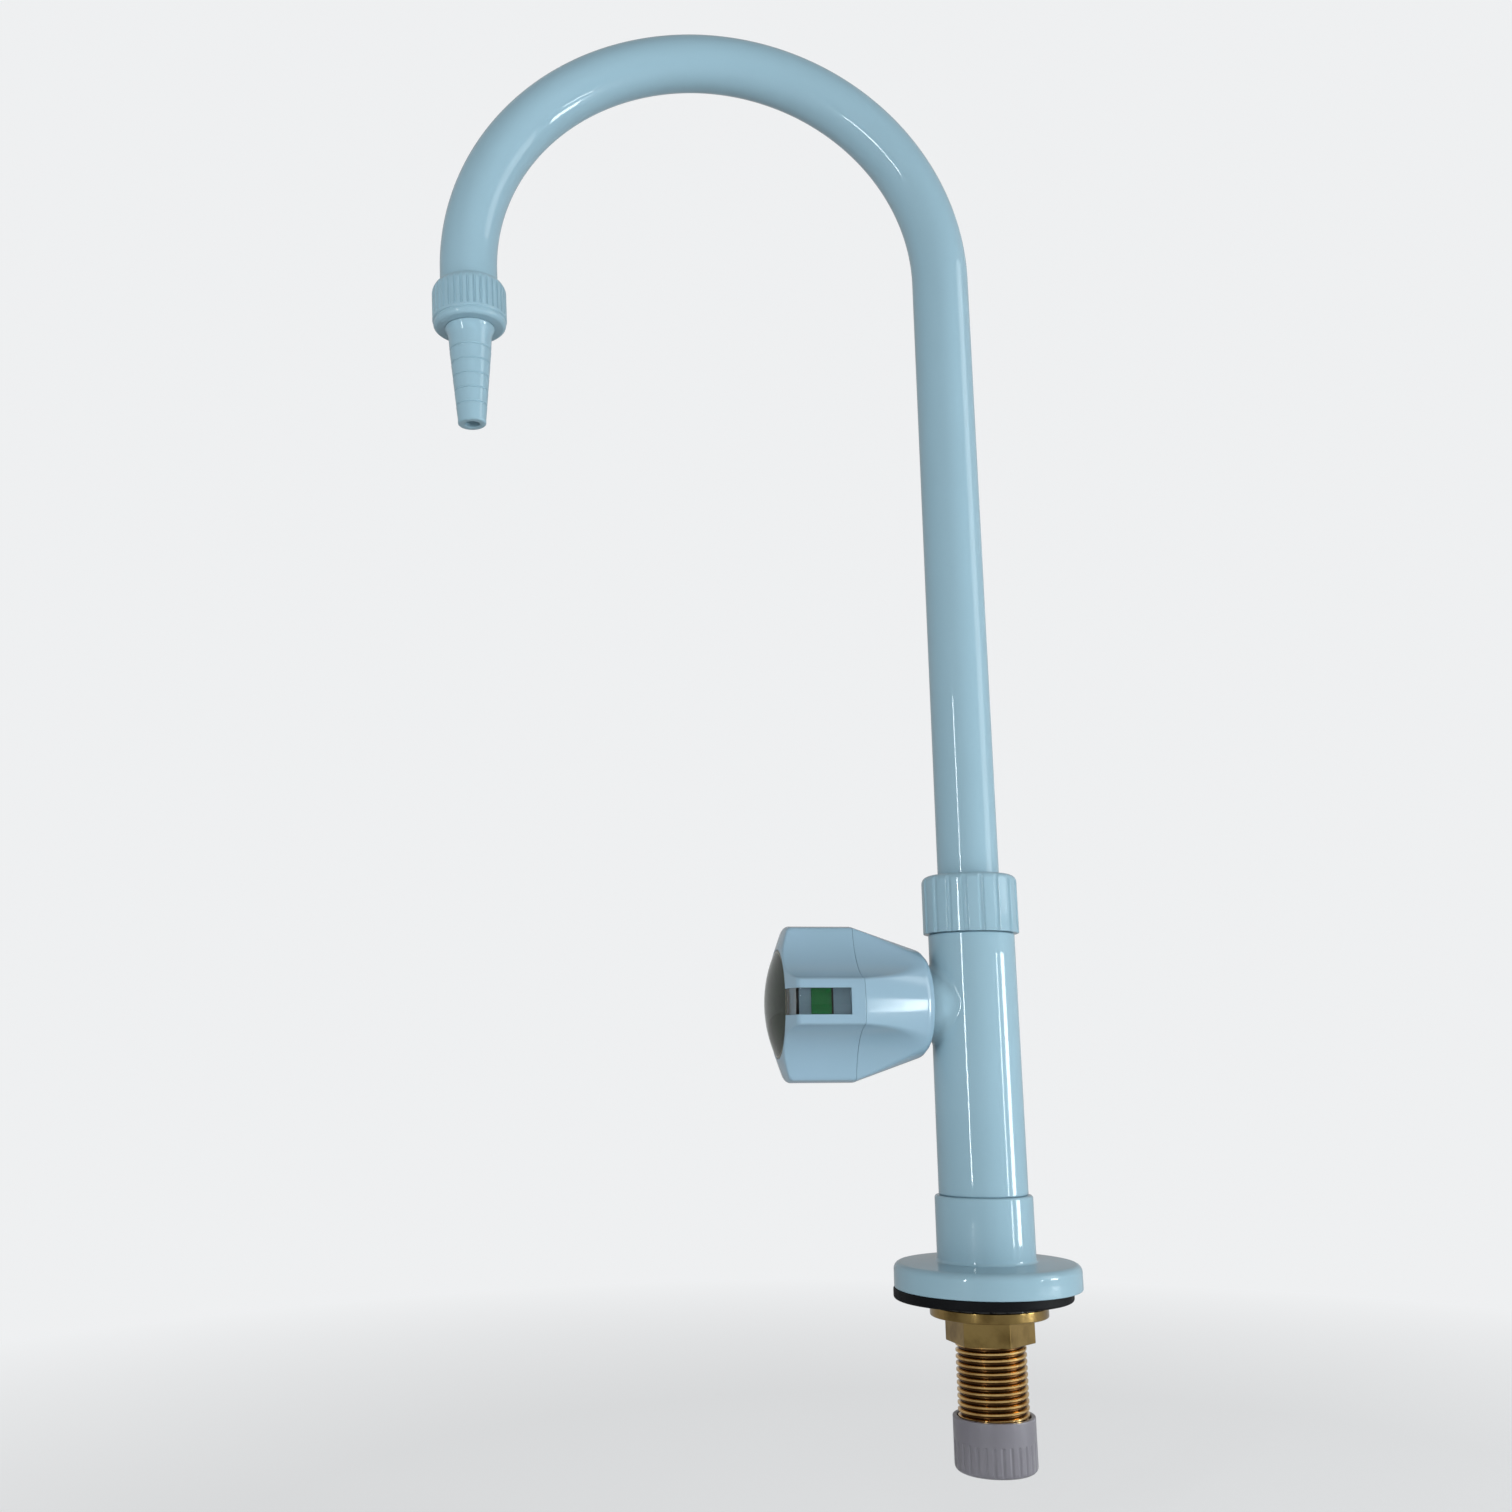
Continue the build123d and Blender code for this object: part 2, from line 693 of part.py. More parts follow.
shoulder_points = [
    (handle_radius, handle_shoulder),
    (handle_radius - handle_shoulder_drop, handle_shoulder + handle_shoulder_bevel),
    (handle_face_radius, handle_face),
]
with BuildPart() as handle_shell:
    revolve(
        outline_face(
            handle_section,
            (handle_cavity_radius, handle_seam),
            (handle_radius, handle_seam),
            *shoulder_points,
            (handle_face_radius - handle_lens_edge, handle_face),
            (handle_face_radius - handle_lens_edge, handle_web_front),
            (screw_head_radius + assembly_gap, handle_web_front),
            (screw_head_radius + assembly_gap, screw_start),
            (screw_radius + assembly_gap, screw_start),
            (screw_radius + assembly_gap, handle_web_rear),
            (insert_radius + seat_gap, handle_web_rear),
            (insert_radius + seat_gap, handle_hub_rear),
            (handle_hub_radius, handle_hub_rear),
            (handle_hub_radius, handle_web_rear - handle_web_recess),
            (handle_cavity_radius, handle_web_rear - handle_web_recess),
        ),
        axis=handle_axis,
    )
    extrude(scoops.sketch, amount=handle_face - handle_rear, mode=Mode.SUBTRACT)
    window_floor = handle_radius - window_depth
    window = outline_face(
        window_section,
        (window_floor, window_rear),
        (window_floor, handle_shoulder),
        (handle_face_radius - window_root, handle_web_front),
        (handle_face_radius - window_root, handle_face + cut_margin),
        (handle_radius + cut_margin, handle_face + cut_margin),
        (handle_radius + cut_margin, window_rear),
    )
    extrude(window, amount=window_width / 2, both=True, mode=Mode.SUBTRACT)

lip_outer = handle_cavity_radius - seat_gap
with BuildPart() as handle_skirt:
    revolve(
        outline_face(
            handle_section,
            (handle_mouth_radius, handle_rear),
            (handle_rear_radius, handle_rear),
            (handle_heel_radius, handle_rear + handle_rear_bevel),
            (handle_radius, handle_seam - seat_gap),
            (lip_outer, handle_seam - seat_gap),
            (lip_outer, handle_seam + handle_lip_length),
            (lip_outer - handle_lip_wall, handle_seam + handle_lip_length),
            (lip_outer - handle_lip_wall, handle_seam - 3 * handle_lip_wall),
        ),
        axis=handle_axis,
    )
    extrude(scoops.sketch, amount=handle_seam - handle_rear, mode=Mode.SUBTRACT)

disc_front = handle_web_front + seat_gap + index_disc_thickness
lens_rear = disc_front + seat_gap
lens_radius = handle_face_radius - handle_lens_edge - seat_gap
with BuildPart() as index_lens:
    tab = outline_face(
        window_section,
        (window_floor + label_thickness + 2 * seat_gap, window_rear + assembly_gap),
        (window_floor + label_thickness + 2 * seat_gap, handle_shoulder + label_thickness),
        (lens_radius + seat_gap, lens_rear),
        (lens_radius - lens_tab_root, lens_rear),
        (lens_radius - lens_tab_root, handle_face),
        (handle_face_radius, handle_face),
        (handle_radius + cut_margin, handle_face),
        (handle_radius + cut_margin, window_rear + assembly_gap),
    )
    extrude(tab, amount=window_width / 2 - assembly_gap, both=True)
    envelope = outline_face(
        handle_section,
        (0, window_rear),
        (handle_radius, window_rear),
        *shoulder_points,
        (0, handle_face),
    )
    revolve(envelope, axis=handle_axis, mode=Mode.INTERSECT)
    lens_rim = lens_rear + lens_edge_thickness
    lens_curve = (lens_radius**2 + (lens_apex - lens_rim) ** 2) / (2 * (lens_apex - lens_rim))
    with BuildSketch(handle_section) as dome:
        with BuildLine():
            Polyline((0, lens_apex), (0, lens_rear), (lens_radius, lens_rear), (lens_radius, lens_rim))
            RadiusArc((lens_radius, lens_rim), (0, lens_apex), -lens_curve)
        make_face()
    revolve(dome.sketch, axis=handle_axis)

with BuildPart() as index_disc:
    disc_section = ring_face(handle_section, 0, lens_radius, handle_web_front + seat_gap, disc_front)
    revolve(disc_section, axis=handle_axis)

with BuildPart() as index_label:
    label_floor = window_floor + seat_gap
    label = outline_face(
        window_section,
        (label_floor, label_rear),
        (label_floor, label_rear + label_length),
        (label_floor + label_thickness, label_rear + label_length),
        (label_floor + label_thickness, label_rear),
    )
    extrude(label, amount=window_width / 2 - 2 * assembly_gap, both=True)

with BuildPart() as handle_screw:
    revolve(
        outline_face(
            handle_section,
            (0, screw_start - screw_length + assembly_gap),
            (screw_radius, screw_start - screw_length + assembly_gap),
            (screw_radius, screw_start),
            (screw_head_radius, screw_start),
            (screw_head_radius, handle_web_front),
            (0, handle_web_front),
        ),
        axis=handle_axis,
    )
    with BuildSketch(handle_cross.offset(handle_web_front - screw_slot_depth)):
        Rectangle(2 * screw_head_radius, screw_slot_width)
        Rectangle(screw_slot_width, screw_slot_short)
    extrude(amount=screw_slot_depth, mode=Mode.SUBTRACT)

# Clamping pieces under the deck

nut_bore = thread_radius + running_gap
with BuildPart() as ribbed_washer:
    revolve(ring_face(Plane.XZ, nut_bore, washer_radius, washer_base, washer_top), axis=Axis.Z)
    with Locations((0, 0, (washer_base + washer_top) / 2)):
        with PolarLocations(washer_radius, washer_slots):
            Cylinder(washer_slot_radius, 4 * washer_thickness, rotation=(washer_slot_slant, 0, 0), mode=Mode.SUBTRACT)

with BuildPart() as mounting_nut:
    with BuildSketch(Plane.XY.offset(nut_flange_base)):
        Circle(nut_flange_radius)
    extrude(amount=nut_flange_thickness)
    with BuildSketch(Plane.XY.offset(nut_base)):
        RegularPolygon(nut_across_flats / 2, 6, major_radius=False, rotation=nut_turn)
    extrude(amount=nut_hex_height)
    with BuildSketch(Plane.XY.offset(nut_base)):
        Circle(nut_bore)
    extrude(amount=nut_top - nut_base, mode=Mode.SUBTRACT)

cap_bore = thread_radius + moving_gap
with BuildPart() as thread_cap:
    revolve(
        outline_face(
            Plane.XZ,
            (0, cap_base),
            (cap_radius, cap_base),
            (cap_radius, cap_rim),
            (cap_bore, cap_rim),
            (cap_bore, cap_base + cap_floor),
            (0, cap_base + cap_floor),
        ),
        axis=Axis.Z,
    )
    fillet(thread_cap.edges().sort_by(Axis.Z)[0], cap_edge_fillet)
    with BuildSketch(Plane.XY.offset(cap_base)):
        with PolarLocations(cap_radius + cap_groove_radius - cap_groove_depth, cap_grooves):
            Circle(cap_groove_radius)
    extrude(amount=cap_grooved_length, mode=Mode.SUBTRACT)

pieces = {
    "deck_gasket": deck_gasket,
    "base_flange": base_flange,
    "threaded_shank": threaded_shank,
    "column_body": column_body,
    "shank_seal": shank_seal,
    "swivel_collar": swivel_collar,
    "slip_ring": slip_ring,
    "swivel_spigot": swivel_spigot,
    "spigot_seals": spigot_seals,
    "gooseneck_tube": gooseneck_tube,
    "outlet_adapter": outlet_adapter,
    "outlet_seal": outlet_seal,
    "outlet_nut": outlet_nut,
    "hose_nozzle": hose_nozzle,
    "headwork_body": headwork_body,
    "headwork_seal": headwork_seal,
    "seat_seal": seat_seal,
    "fixed_disc": fixed_disc,
    "moving_disc": moving_disc,
    "spindle": spindle,
    "spindle_seals": spindle_seals,
    "spindle_clip": spindle_clip,
    "spline_insert": spline_insert,
    "handle_shell": handle_shell,
    "handle_skirt": handle_skirt,
    "index_lens": index_lens,
    "index_disc": index_disc,
    "index_label": index_label,
    "handle_screw": handle_screw,
    "ribbed_washer": ribbed_washer,
    "mounting_nut": mounting_nut,
    "thread_cap": thread_cap,
}

os.makedirs("parts", exist_ok=True)
for name, piece in pieces.items():
    piece.part.label = name
    export_step(piece.part, f"parts/{name}.step")
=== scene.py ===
"""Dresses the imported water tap: fine meshes and finishes for its pieces, a plain studio and the camera."""

import sys
import logging
from collections.abc import Callable, Sequence
from dataclasses import dataclass
from enum import Enum
from math import atan2, cos, hypot, pi, radians, sin, sqrt

import bmesh
import bpy
import numpy as np
from mathutils import Matrix, Vector


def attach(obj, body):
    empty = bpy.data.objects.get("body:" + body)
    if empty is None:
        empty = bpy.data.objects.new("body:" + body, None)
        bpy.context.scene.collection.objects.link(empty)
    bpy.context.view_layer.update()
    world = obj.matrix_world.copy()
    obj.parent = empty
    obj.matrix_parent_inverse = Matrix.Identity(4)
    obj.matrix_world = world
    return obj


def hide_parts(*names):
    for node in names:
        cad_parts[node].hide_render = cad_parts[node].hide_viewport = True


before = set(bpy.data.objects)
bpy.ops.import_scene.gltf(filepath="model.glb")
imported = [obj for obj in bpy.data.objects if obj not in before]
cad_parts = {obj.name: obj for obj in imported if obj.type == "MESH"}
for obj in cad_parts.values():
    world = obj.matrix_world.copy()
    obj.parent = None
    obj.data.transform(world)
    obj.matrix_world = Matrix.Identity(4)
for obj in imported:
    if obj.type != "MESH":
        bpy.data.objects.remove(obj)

LOG = logging.getLogger("water_tap")
MM = 0.001
WELD = 1e-6

Colour = tuple[float, float, float]
Pair = tuple[float, float]
Socket = bpy.types.NodeSocket


# Materials


class Value:
    """A number on its way through a material. Its operators add Math nodes."""

    def __init__(self, graph: "Graph", socket: Socket) -> None:
        """Keeps the socket and the graph that it belongs to."""
        self.graph = graph
        self.socket = socket

    def __add__(self, other: "Operand") -> "Value":
        """The sum."""
        return self.graph.maths("ADD", self, other)

    def __radd__(self, other: "Operand") -> "Value":
        """The sum, with the number in front."""
        return self.graph.maths("ADD", other, self)

    def __sub__(self, other: "Operand") -> "Value":
        """The difference."""
        return self.graph.maths("SUBTRACT", self, other)

    def __rsub__(self, other: "Operand") -> "Value":
        """The difference, with the number in front."""
        return self.graph.maths("SUBTRACT", other, self)

    def __mul__(self, other: "Operand") -> "Value":
        """The product."""
        return self.graph.maths("MULTIPLY", self, other)

    def __rmul__(self, other: "Operand") -> "Value":
        """The product, with the number in front."""
        return self.graph.maths("MULTIPLY", other, self)

    def __truediv__(self, other: "Operand") -> "Value":
        """The quotient."""
        return self.graph.maths("DIVIDE", self, other)

    def __pow__(self, other: "Operand") -> "Value":
        """The power."""
        return self.graph.maths("POWER", self, other)

    def between(self, low: float, high: float) -> "Value":
        """How far the value has gone from low to high, held within 0 and 1.

        Args:
            low: The value that gives 0.
            high: The value that gives 1.

        Returns:
            The share of the way.
        """
        inputs = {"Value": self, "From Min": low, "From Max": high}
        made = self.graph.node("ShaderNodeMapRange", {"clamp": True}, inputs)
        return Value(self.graph, made.outputs["Result"])

    def stretched(self) -> "Value":
        """A noise whose middle range, where it mostly lies, is stretched to reach from 0 to 1."""
        return self.between(0.3, 0.7)


Operand = Value | float
Tint = Colour | Socket


class Graph:
    """The node tree of a material or a world, with the few kinds of node that the finishes share."""

    def __init__(self, owner: bpy.types.Material | bpy.types.World, coordinates: str = "Object") -> None:
        """Starts an empty node tree.

        Args:
            owner: The new material or world.
            coordinates: Which texture coordinates its patterns read.
        """
        owner.use_nodes = True
        self.owner = owner
        self.tree = owner.node_tree
        self.tree.nodes.clear()
        self.place = self.node("ShaderNodeTexCoord").outputs[coordinates]

    def node(self, kind: str, settings: dict | None = None, inputs: dict | None = None) -> bpy.types.Node:
        """Adds one node.

        Args:
            kind: The node's type.
            settings: Its properties, set first.
            inputs: Values or links of its sockets, by name or by number.

        Returns:
            The node.
        """
        made = self.tree.nodes.new(kind)
        for name, setting in (settings or {}).items():
            setattr(made, name, setting)
        for name, value in (inputs or {}).items():
            source = value.socket if isinstance(value, Value) else value
            if isinstance(source, Socket):
                self.tree.links.new(source, made.inputs[name])
            else:
                made.inputs[name].default_value = source
        return made

    def maths(self, operation: str, *operands: Operand) -> Value:
        """A Math node on values and numbers."""
        made = self.node("ShaderNodeMath", {"operation": operation}, dict(enumerate(operands)))
        return Value(self, made.outputs[0])

    def noise(self, size: float, detail: float = 2.0, stretch: Colour = (1.0, 1.0, 1.0)) -> Value:
        """A noise that runs from about 0 to 1.

        Args:
            size: Size of its spots in millimetres.
            detail: How many finer noises lie on it.
            stretch: How much closer the spots are along each axis.

        Returns:
            The noise as a value.
        """
        spread = self.node("ShaderNodeMapping", None, {"Vector": self.place, "Scale": stretch})
        inputs = {"Vector": spread.outputs["Vector"], "Scale": 1 / (size * MM), "Detail": detail}
        return Value(self, self.node("ShaderNodeTexNoise", None, inputs).outputs["Fac"])

    def axes(self) -> tuple[Value, Value, Value]:
        """The three coordinates. Object coordinates are in metres."""
        parts = self.node("ShaderNodeSeparateXYZ", None, {"Vector": self.place}).outputs
        return Value(self, parts["X"]), Value(self, parts["Y"]), Value(self, parts["Z"])

    def rays(self) -> tuple[Value, Value]:
        """Tells the rays that light the surface from those that show it.

        Returns:
            Whether the camera sees it, and whether gloss or clear plastic shows it, as 1 or 0.
        """
        rays = self.node("ShaderNodeLightPath").outputs
        glossy, through = Value(self, rays["Is Glossy Ray"]), Value(self, rays["Is Transmission Ray"])
        return Value(self, rays["Is Camera Ray"]), self.maths("MAXIMUM", glossy, through)

    def blend(self, share: Value, low: Tint, high: Tint) -> Socket:
        """Mixes two colours.

        Args:
            share: How much of the second colour shows.
            low: The first colour.
            high: The second colour.

        Returns:
            The socket of the mixed colour.
        """
        low, high = ((*c, 1.0) if isinstance(c, tuple) else c for c in (low, high))
        made = self.node("ShaderNodeMix", {"data_type": "RGBA"}, {0: share, 6: low, 7: high})
        return made.outputs[2]

    def mix(self, share: Value, low: Socket, high: Socket) -> Socket:
        """Mixes two shaders.

        Args:
            share: How much of the second shader shows.
            low: The first shader.
            high: The second shader.

        Returns:
            The socket of the mixed shader.
        """
        return self.node("ShaderNodeMixShader", None, {0: share, 1: low, 2: high}).outputs["Shader"]

    def bump(self, height: Value, depth: float) -> Socket:
        """Raises the surface.

        Args:
            height: The height, from 0 to 1.
            depth: What 1 stands for, in millimetres.

        Returns:
            The socket of the bumped normal.
        """
        made = self.node("ShaderNodeBump", None, {"Height": height, "Distance": depth * MM})
        return made.outputs["Normal"]

    def shader(self, inputs: dict) -> Socket:
        """Adds a main shader and gives its socket."""
        return self.node("ShaderNodeBsdfPrincipled", None, inputs).outputs["BSDF"]

    def glow(self, colour: Colour, kind: str = "ShaderNodeBackground") -> Socket:
        """Adds a shader that gives light of one colour and gives its socket."""
        return self.node(kind, None, {"Color": (*colour, 1.0)}).outputs[0]

    def output(self, shader: Socket, kind: str = "ShaderNodeOutputMaterial") -> bpy.types.ID:
        """Adds the output and gives the finished material or world."""
        self.node(kind, None, {"Surface": shader})
        return self.owner


def darker(colour: Colour, share: float) -> Colour:
    """A share of a colour."""
    return tuple(share * part for part in colour)


@dataclass(frozen=True)
class Finish:
    """A finish with a name and a main colour, as linear values."""

    name: str
    colour: Colour

    def material(self) -> bpy.types.Material:
        """The finish's material, made the first time that it is asked for."""
        return bpy.data.materials.get(self.name) or self.make()

    def graph(self) -> Graph:
        """Starts the material's nodes."""
        return Graph(bpy.data.materials.new(self.name))

    def make(self) -> bpy.types.Material:
        """Makes the material. Each kind of finish has its own way."""
        raise NotImplementedError


@dataclass(frozen=True)
class GlossCoat(Finish):
    """Baked epoxy powder: a gloss skin with a faint orange peel and a slow drift of its tint."""

    shade: Colour
    skin: float = 0.32
    skin_drift: float = 0.08
    peel_size: float = 1.6
    peel_depth: float = 0.003
    drift_size: float = 45.0
    settled_size: float = 9.6

    def make(self) -> bpy.types.Material:
        """Makes the coat's material.

        Returns:
            The material.
        """
        graph = self.graph()
        drift = graph.noise(self.drift_size).stretched()
        peel = graph.noise(self.peel_size, detail=1.0)
        settled = graph.noise(self.settled_size, detail=3.0)
        coat = graph.shader(
            {
                "Base Color": graph.blend(drift, self.colour, self.shade),
                "Roughness": self.skin + settled * self.skin_drift,
                "Specular IOR Level": 0.05,
                "Coat Weight": 0.65,
                "Coat Roughness": 0.025,
                "IOR": 1.5,
                "Normal": graph.bump(peel, self.peel_depth),
            }
        )
        return graph.output(coat)


@dataclass(frozen=True)
class MouldedPlastic(Finish):
    """Moulded plastic with a fine skin and slight flow marks."""

    shade: Colour
    gloss: float = 0.18
    wear: float = 0.10
    grain_size: float = 0.35
    grain_depth: float = 0.0012
    flow_size: float = 22.0
    wear_size: float = 5.5
    milky: float = 0.0
    milky_depth: float = 2.0

    def make(self) -> bpy.types.Material:
        """Makes the plastic's material.

        Returns:
            The material.
        """
        graph = self.graph()
        flow = graph.noise(self.flow_size, detail=1.0).stretched()
        grain = graph.noise(self.grain_size)
        worn = graph.noise(self.wear_size, detail=3.0)
        plastic = graph.shader(
            {
                "Base Color": graph.blend(flow, self.colour, self.shade),
                "Roughness": self.gloss + worn * self.wear,
                "IOR": 1.5,
                "Subsurface Weight": self.milky,
                "Subsurface Radius": (1.0, 1.0, 1.0),
                "Subsurface Scale": self.milky_depth * MM,
                "Normal": graph.bump(grain, self.grain_depth),
            }
        )
        return graph.output(plastic)


@dataclass(frozen=True)
class PrintedDisc(Finish):
    """A disc printed in one colour, with a thin light line and a plain rim."""

    rim: Colour
    line: Colour
    centre_height: float
    line_radius: float = 15.4
    line_width: float = 0.35
    rim_radius: float = 16.0
    rim_blur: float = 0.1
    paper_size: float = 1.5

    def make(self) -> bpy.types.Material:
        """Makes the print's material.

        Returns:
            The material.
        """
        graph = self.graph()
        return graph.output(self.shader(graph))

    def radius(self, graph: Graph) -> Value:
        """The distance to the handle's axis.

        Args:
            graph: The material's nodes.

        Returns:
            The distance, in metres.
        """
        _, y, z = graph.axes()
        up = z - self.centre_height * MM
        return (y * y + up * up) ** 0.5

    def shader(self, graph: Graph) -> Socket:
        """Makes the print from the distance to the handle's axis.

        Args:
            graph: The material's nodes.

        Returns:
            The socket of the print's shader.
        """
        radius = self.radius(graph)
        past = (radius - self.line_radius * MM) / (self.line_width * MM)
        on_line = 1 - graph.maths("ABSOLUTE", past).between(0.6, 1.0)
        on_rim = radius.between(self.rim_radius * MM, (self.rim_radius + self.rim_blur) * MM)
        paper = graph.noise(self.paper_size, detail=3.0).stretched()
        ink = graph.blend(paper, self.colour, darker(self.colour, 0.8))
        printed = graph.blend(on_line, ink, self.line)
        return graph.shader(
            {
                "Base Color": graph.blend(on_rim, printed, self.rim),
                "Roughness": 0.35 + paper * 0.15,
                "Specular IOR Level": 0.1,
            }
        )


@dataclass(frozen=True)
class ClearPlastic(Finish):
    """Clear moulded plastic with a faint waviness in its skin, and a print on its rear face.

    The print's spans say how far past the rear face and past the print's rim it fades out.
    """

    backing: PrintedDisc
    rear_station: float
    rear_fade: Pair = (0.02, 0.04)
    rim_fade: Pair = (0.2, 0.3)
    index: float = 1.49
    wave_size: float = 2.5
    wave_depth: float = 0.002
    haze_size: float = 9.0

    def make(self) -> bpy.types.Material:
        """Makes the clear material.

        Returns:
            The material.
        """
        graph = self.graph()
        wave = graph.noise(self.wave_size, detail=1.0)
        haze = graph.noise(self.haze_size)
        clear = graph.shader(
            {
                "Base Color": (*self.colour, 1.0),
                "Roughness": 0.01 + haze * 0.03,
                "IOR": self.index,
                "Transmission Weight": 1.0,
                "Normal": graph.bump(wave, self.wave_depth),
            }
        )
        x, _, _ = graph.axes()
        rear = ((self.rear_station + past) * MM for past in self.rear_fade)
        rim = ((self.backing.rim_radius + past) * MM for past in self.rim_fade)
        on_rear = 1 - (0 - x).between(*rear)
        within = 1 - self.backing.radius(graph).between(*rim)
        return graph.output(graph.mix(on_rear * within, clear, self.backing.shader(graph)))


@dataclass(frozen=True)
class Rubber(Finish):
    """Matt black rubber with a fine dusty grain."""

    dust: Colour = (0.010, 0.010, 0.011)
    dust_size: float = 3.0
    grain_size: float = 0.3
    grain_depth: float = 0.02

    def make(self) -> bpy.types.Material:
        """Makes the rubber's material.

        Returns:
            The material.
        """
        graph = self.graph()
        dusty = graph.noise(self.dust_size, detail=4.0).between(0.45, 0.8)
        grain = graph.noise(self.grain_size, detail=3.0)
        rubber = graph.shader(
            {
                "Base Color": graph.blend(dusty, self.colour, self.dust),
                "Roughness": 0.55 + dusty * 0.25,
                "Specular IOR Level": 0.12,
                "Normal": graph.bump(grain, self.grain_depth),
            }
        )
        return graph.output(rubber)


@dataclass(frozen=True)
class TurnedMetal(Finish):
    """Turned or machined metal with tool lines round an upright axis and a patchy tarnish.

    A root and a crest radius darken a thread's grooves with painted shade and dull them.
    """

    tarnish: Colour
    gloss: float = 0.2
    spread: float = 0.2
    dulling: float = 0.08
    patch_size: float = 6.0
    line_size: float = 1.2
    line_depth: float = 0.004
    root: float = 0.0
    crest: float = 0.0
    # painted shade: the dark colour laid into a thread's grooves
    painted_groove_shade: Colour = (0.10, 0.045, 0.015)
    root_dulling: float = 0.2

    def make(self) -> bpy.types.Material:
        """Makes the metal's material.

        Returns:
            The material.
        """
        graph = self.graph()
        patches = graph.noise(self.patch_size, detail=4.0).between(0.42, 0.75)
        lines = graph.noise(self.line_size, detail=3.0, stretch=(1.0, 1.0, 9.0))
        colour = graph.blend(patches, self.colour, self.tarnish)
        rough = self.gloss + lines * self.spread + patches * self.dulling
        # painted shade: the thread's grooves darken from the crest down to the root
        if self.crest > self.root:
            x, y, _ = graph.axes()
            open_side = ((x * x + y * y) ** 0.5).between(self.root * MM, self.crest * MM)
            colour = graph.blend(open_side, self.painted_groove_shade, colour)
            rough = rough + (1 - open_side) * self.root_dulling
        metal = graph.shader(
            {
                "Base Color": colour,
                "Metallic": 1.0,
                "Roughness": rough,
                "Normal": graph.bump(lines, self.line_depth),
            }
        )
        return graph.output(metal)


@dataclass(frozen=True)
class PrintedStrip(Finish):
    """A printed strip along the handle, with a dark line across its rear end."""

    line: Colour
    line_end: float
    line_blur: float = 0.05
    paper_size: float = 0.8

    def make(self) -> bpy.types.Material:
        """Makes the print's material from the station along the handle.

        Returns:
            The material.
        """
        graph = self.graph()
        x, _, _ = graph.axes()
        low, high = (self.line_end - self.line_blur) * MM, (self.line_end + self.line_blur) * MM
        on_line = 1 - (0 - x).between(low, high)
        paper = graph.noise(self.paper_size, detail=3.0).stretched()
        ink = graph.blend(paper, self.colour, darker(self.colour, 0.75))
        strip = graph.shader(
            {
                "Base Color": graph.blend(on_line, ink, self.line),
                "Roughness": 0.3 + paper * 0.2,
                "Specular IOR Level": 0.1,
            }
        )
        return graph.output(strip)


HANDLE_HEIGHT = 86.8
LENS_REAR = 61.66

COAT = GlossCoat("pale_epoxy", (0.305, 0.455, 0.535), (0.295, 0.44, 0.515))
HANDLE_PLASTIC = MouldedPlastic("handle_moulding", (0.29, 0.42, 0.52), (0.28, 0.41, 0.50), gloss=0.08)
DISC_PRINT = PrintedDisc(
    "disc_print",
    (0.055, 0.085, 0.05),
    rim=(0.02, 0.02, 0.015),
    line=(0.35, 0.33, 0.22),
    centre_height=HANDLE_HEIGHT,
)
CLEAR = ClearPlastic("clear_moulding", (0.95, 0.98, 0.98), backing=DISC_PRINT, rear_station=LENS_REAR)
LABEL_PRINT = PrintedStrip("label_print", (0.01, 0.26, 0.06), line=(0.01, 0.01, 0.01), line_end=49.95)
THREAD_BRASS = TurnedMetal(
    "thread_brass", (0.84, 0.56, 0.23), (0.60, 0.34, 0.12), gloss=0.08, spread=0.06, root=9.5, crest=10.2
)
NUT_BRASS = TurnedMetal("machined_brass", (0.36, 0.24, 0.085), (0.20, 0.125, 0.04), gloss=0.10, spread=0.08)
INNER_BRASS = TurnedMetal("inner_brass", (0.80, 0.60, 0.28), (0.66, 0.47, 0.20), gloss=0.18, spread=0.12)
STEEL = TurnedMetal("screw_steel", (0.62, 0.62, 0.61), (0.50, 0.50, 0.49), gloss=0.22, spread=0.15)
GASKET_RUBBER = Rubber("gasket_black", (0.004, 0.004, 0.005), dust=(0.006, 0.006, 0.007))
SEAL_RUBBER = Rubber("seal_black", (0.014, 0.014, 0.016))
BLACK_PLASTIC = MouldedPlastic("washer_black", (0.012, 0.012, 0.014), (0.016, 0.016, 0.018), gloss=0.16)
NYLON = MouldedPlastic("natural_nylon", (0.78, 0.77, 0.71), (0.72, 0.71, 0.65), gloss=0.35, milky=0.2)
CERAMIC = MouldedPlastic("alumina", (0.84, 0.83, 0.79), (0.80, 0.79, 0.75), gloss=0.08, grain_depth=0.0003)
CAP_PLASTIC = MouldedPlastic(
    "milky_polyethylene", (0.25, 0.235, 0.26), (0.20, 0.185, 0.21), gloss=0.28, milky=0.25
)


# Modelling


class Cut(Enum):
    """How one solid works on another."""

    AWAY = "DIFFERENCE"
    TOGETHER = "UNION"
    COMMON = "INTERSECT"


@dataclass(frozen=True)
class Corner:
    """A corner of a turned outline, in millimetres, and how far along both its edges it is rounded."""

    radius: float
    height: float
    rounding: float = 0.0

    def point(self) -> Vector:
        """The corner's place on the bench, in metres."""
        return Vector((self.radius * MM, 0.0, self.height * MM))


def clear_selection() -> None:
    """Leaves edit mode and deselects every object."""
    if bpy.context.mode != "OBJECT":
        bpy.ops.object.mode_set(mode="OBJECT")
    bpy.ops.object.select_all(action="DESELECT")


def hollow(turn: float, centre: float, radius: float) -> float:
    """The distance from the axis to a round groove, whose own axis is parallel to it.

    Args:
        turn: The angle away from the groove's middle, in radians.
        centre: Distance of the groove's axis.
        radius: The groove's radius.

    Returns:
        The distance to the groove's near side, or infinity beside the groove.
    """
    beside = radius**2 - (centre * sin(turn)) ** 2
    return centre * cos(turn) - sqrt(beside) if beside > 0 else float("inf")


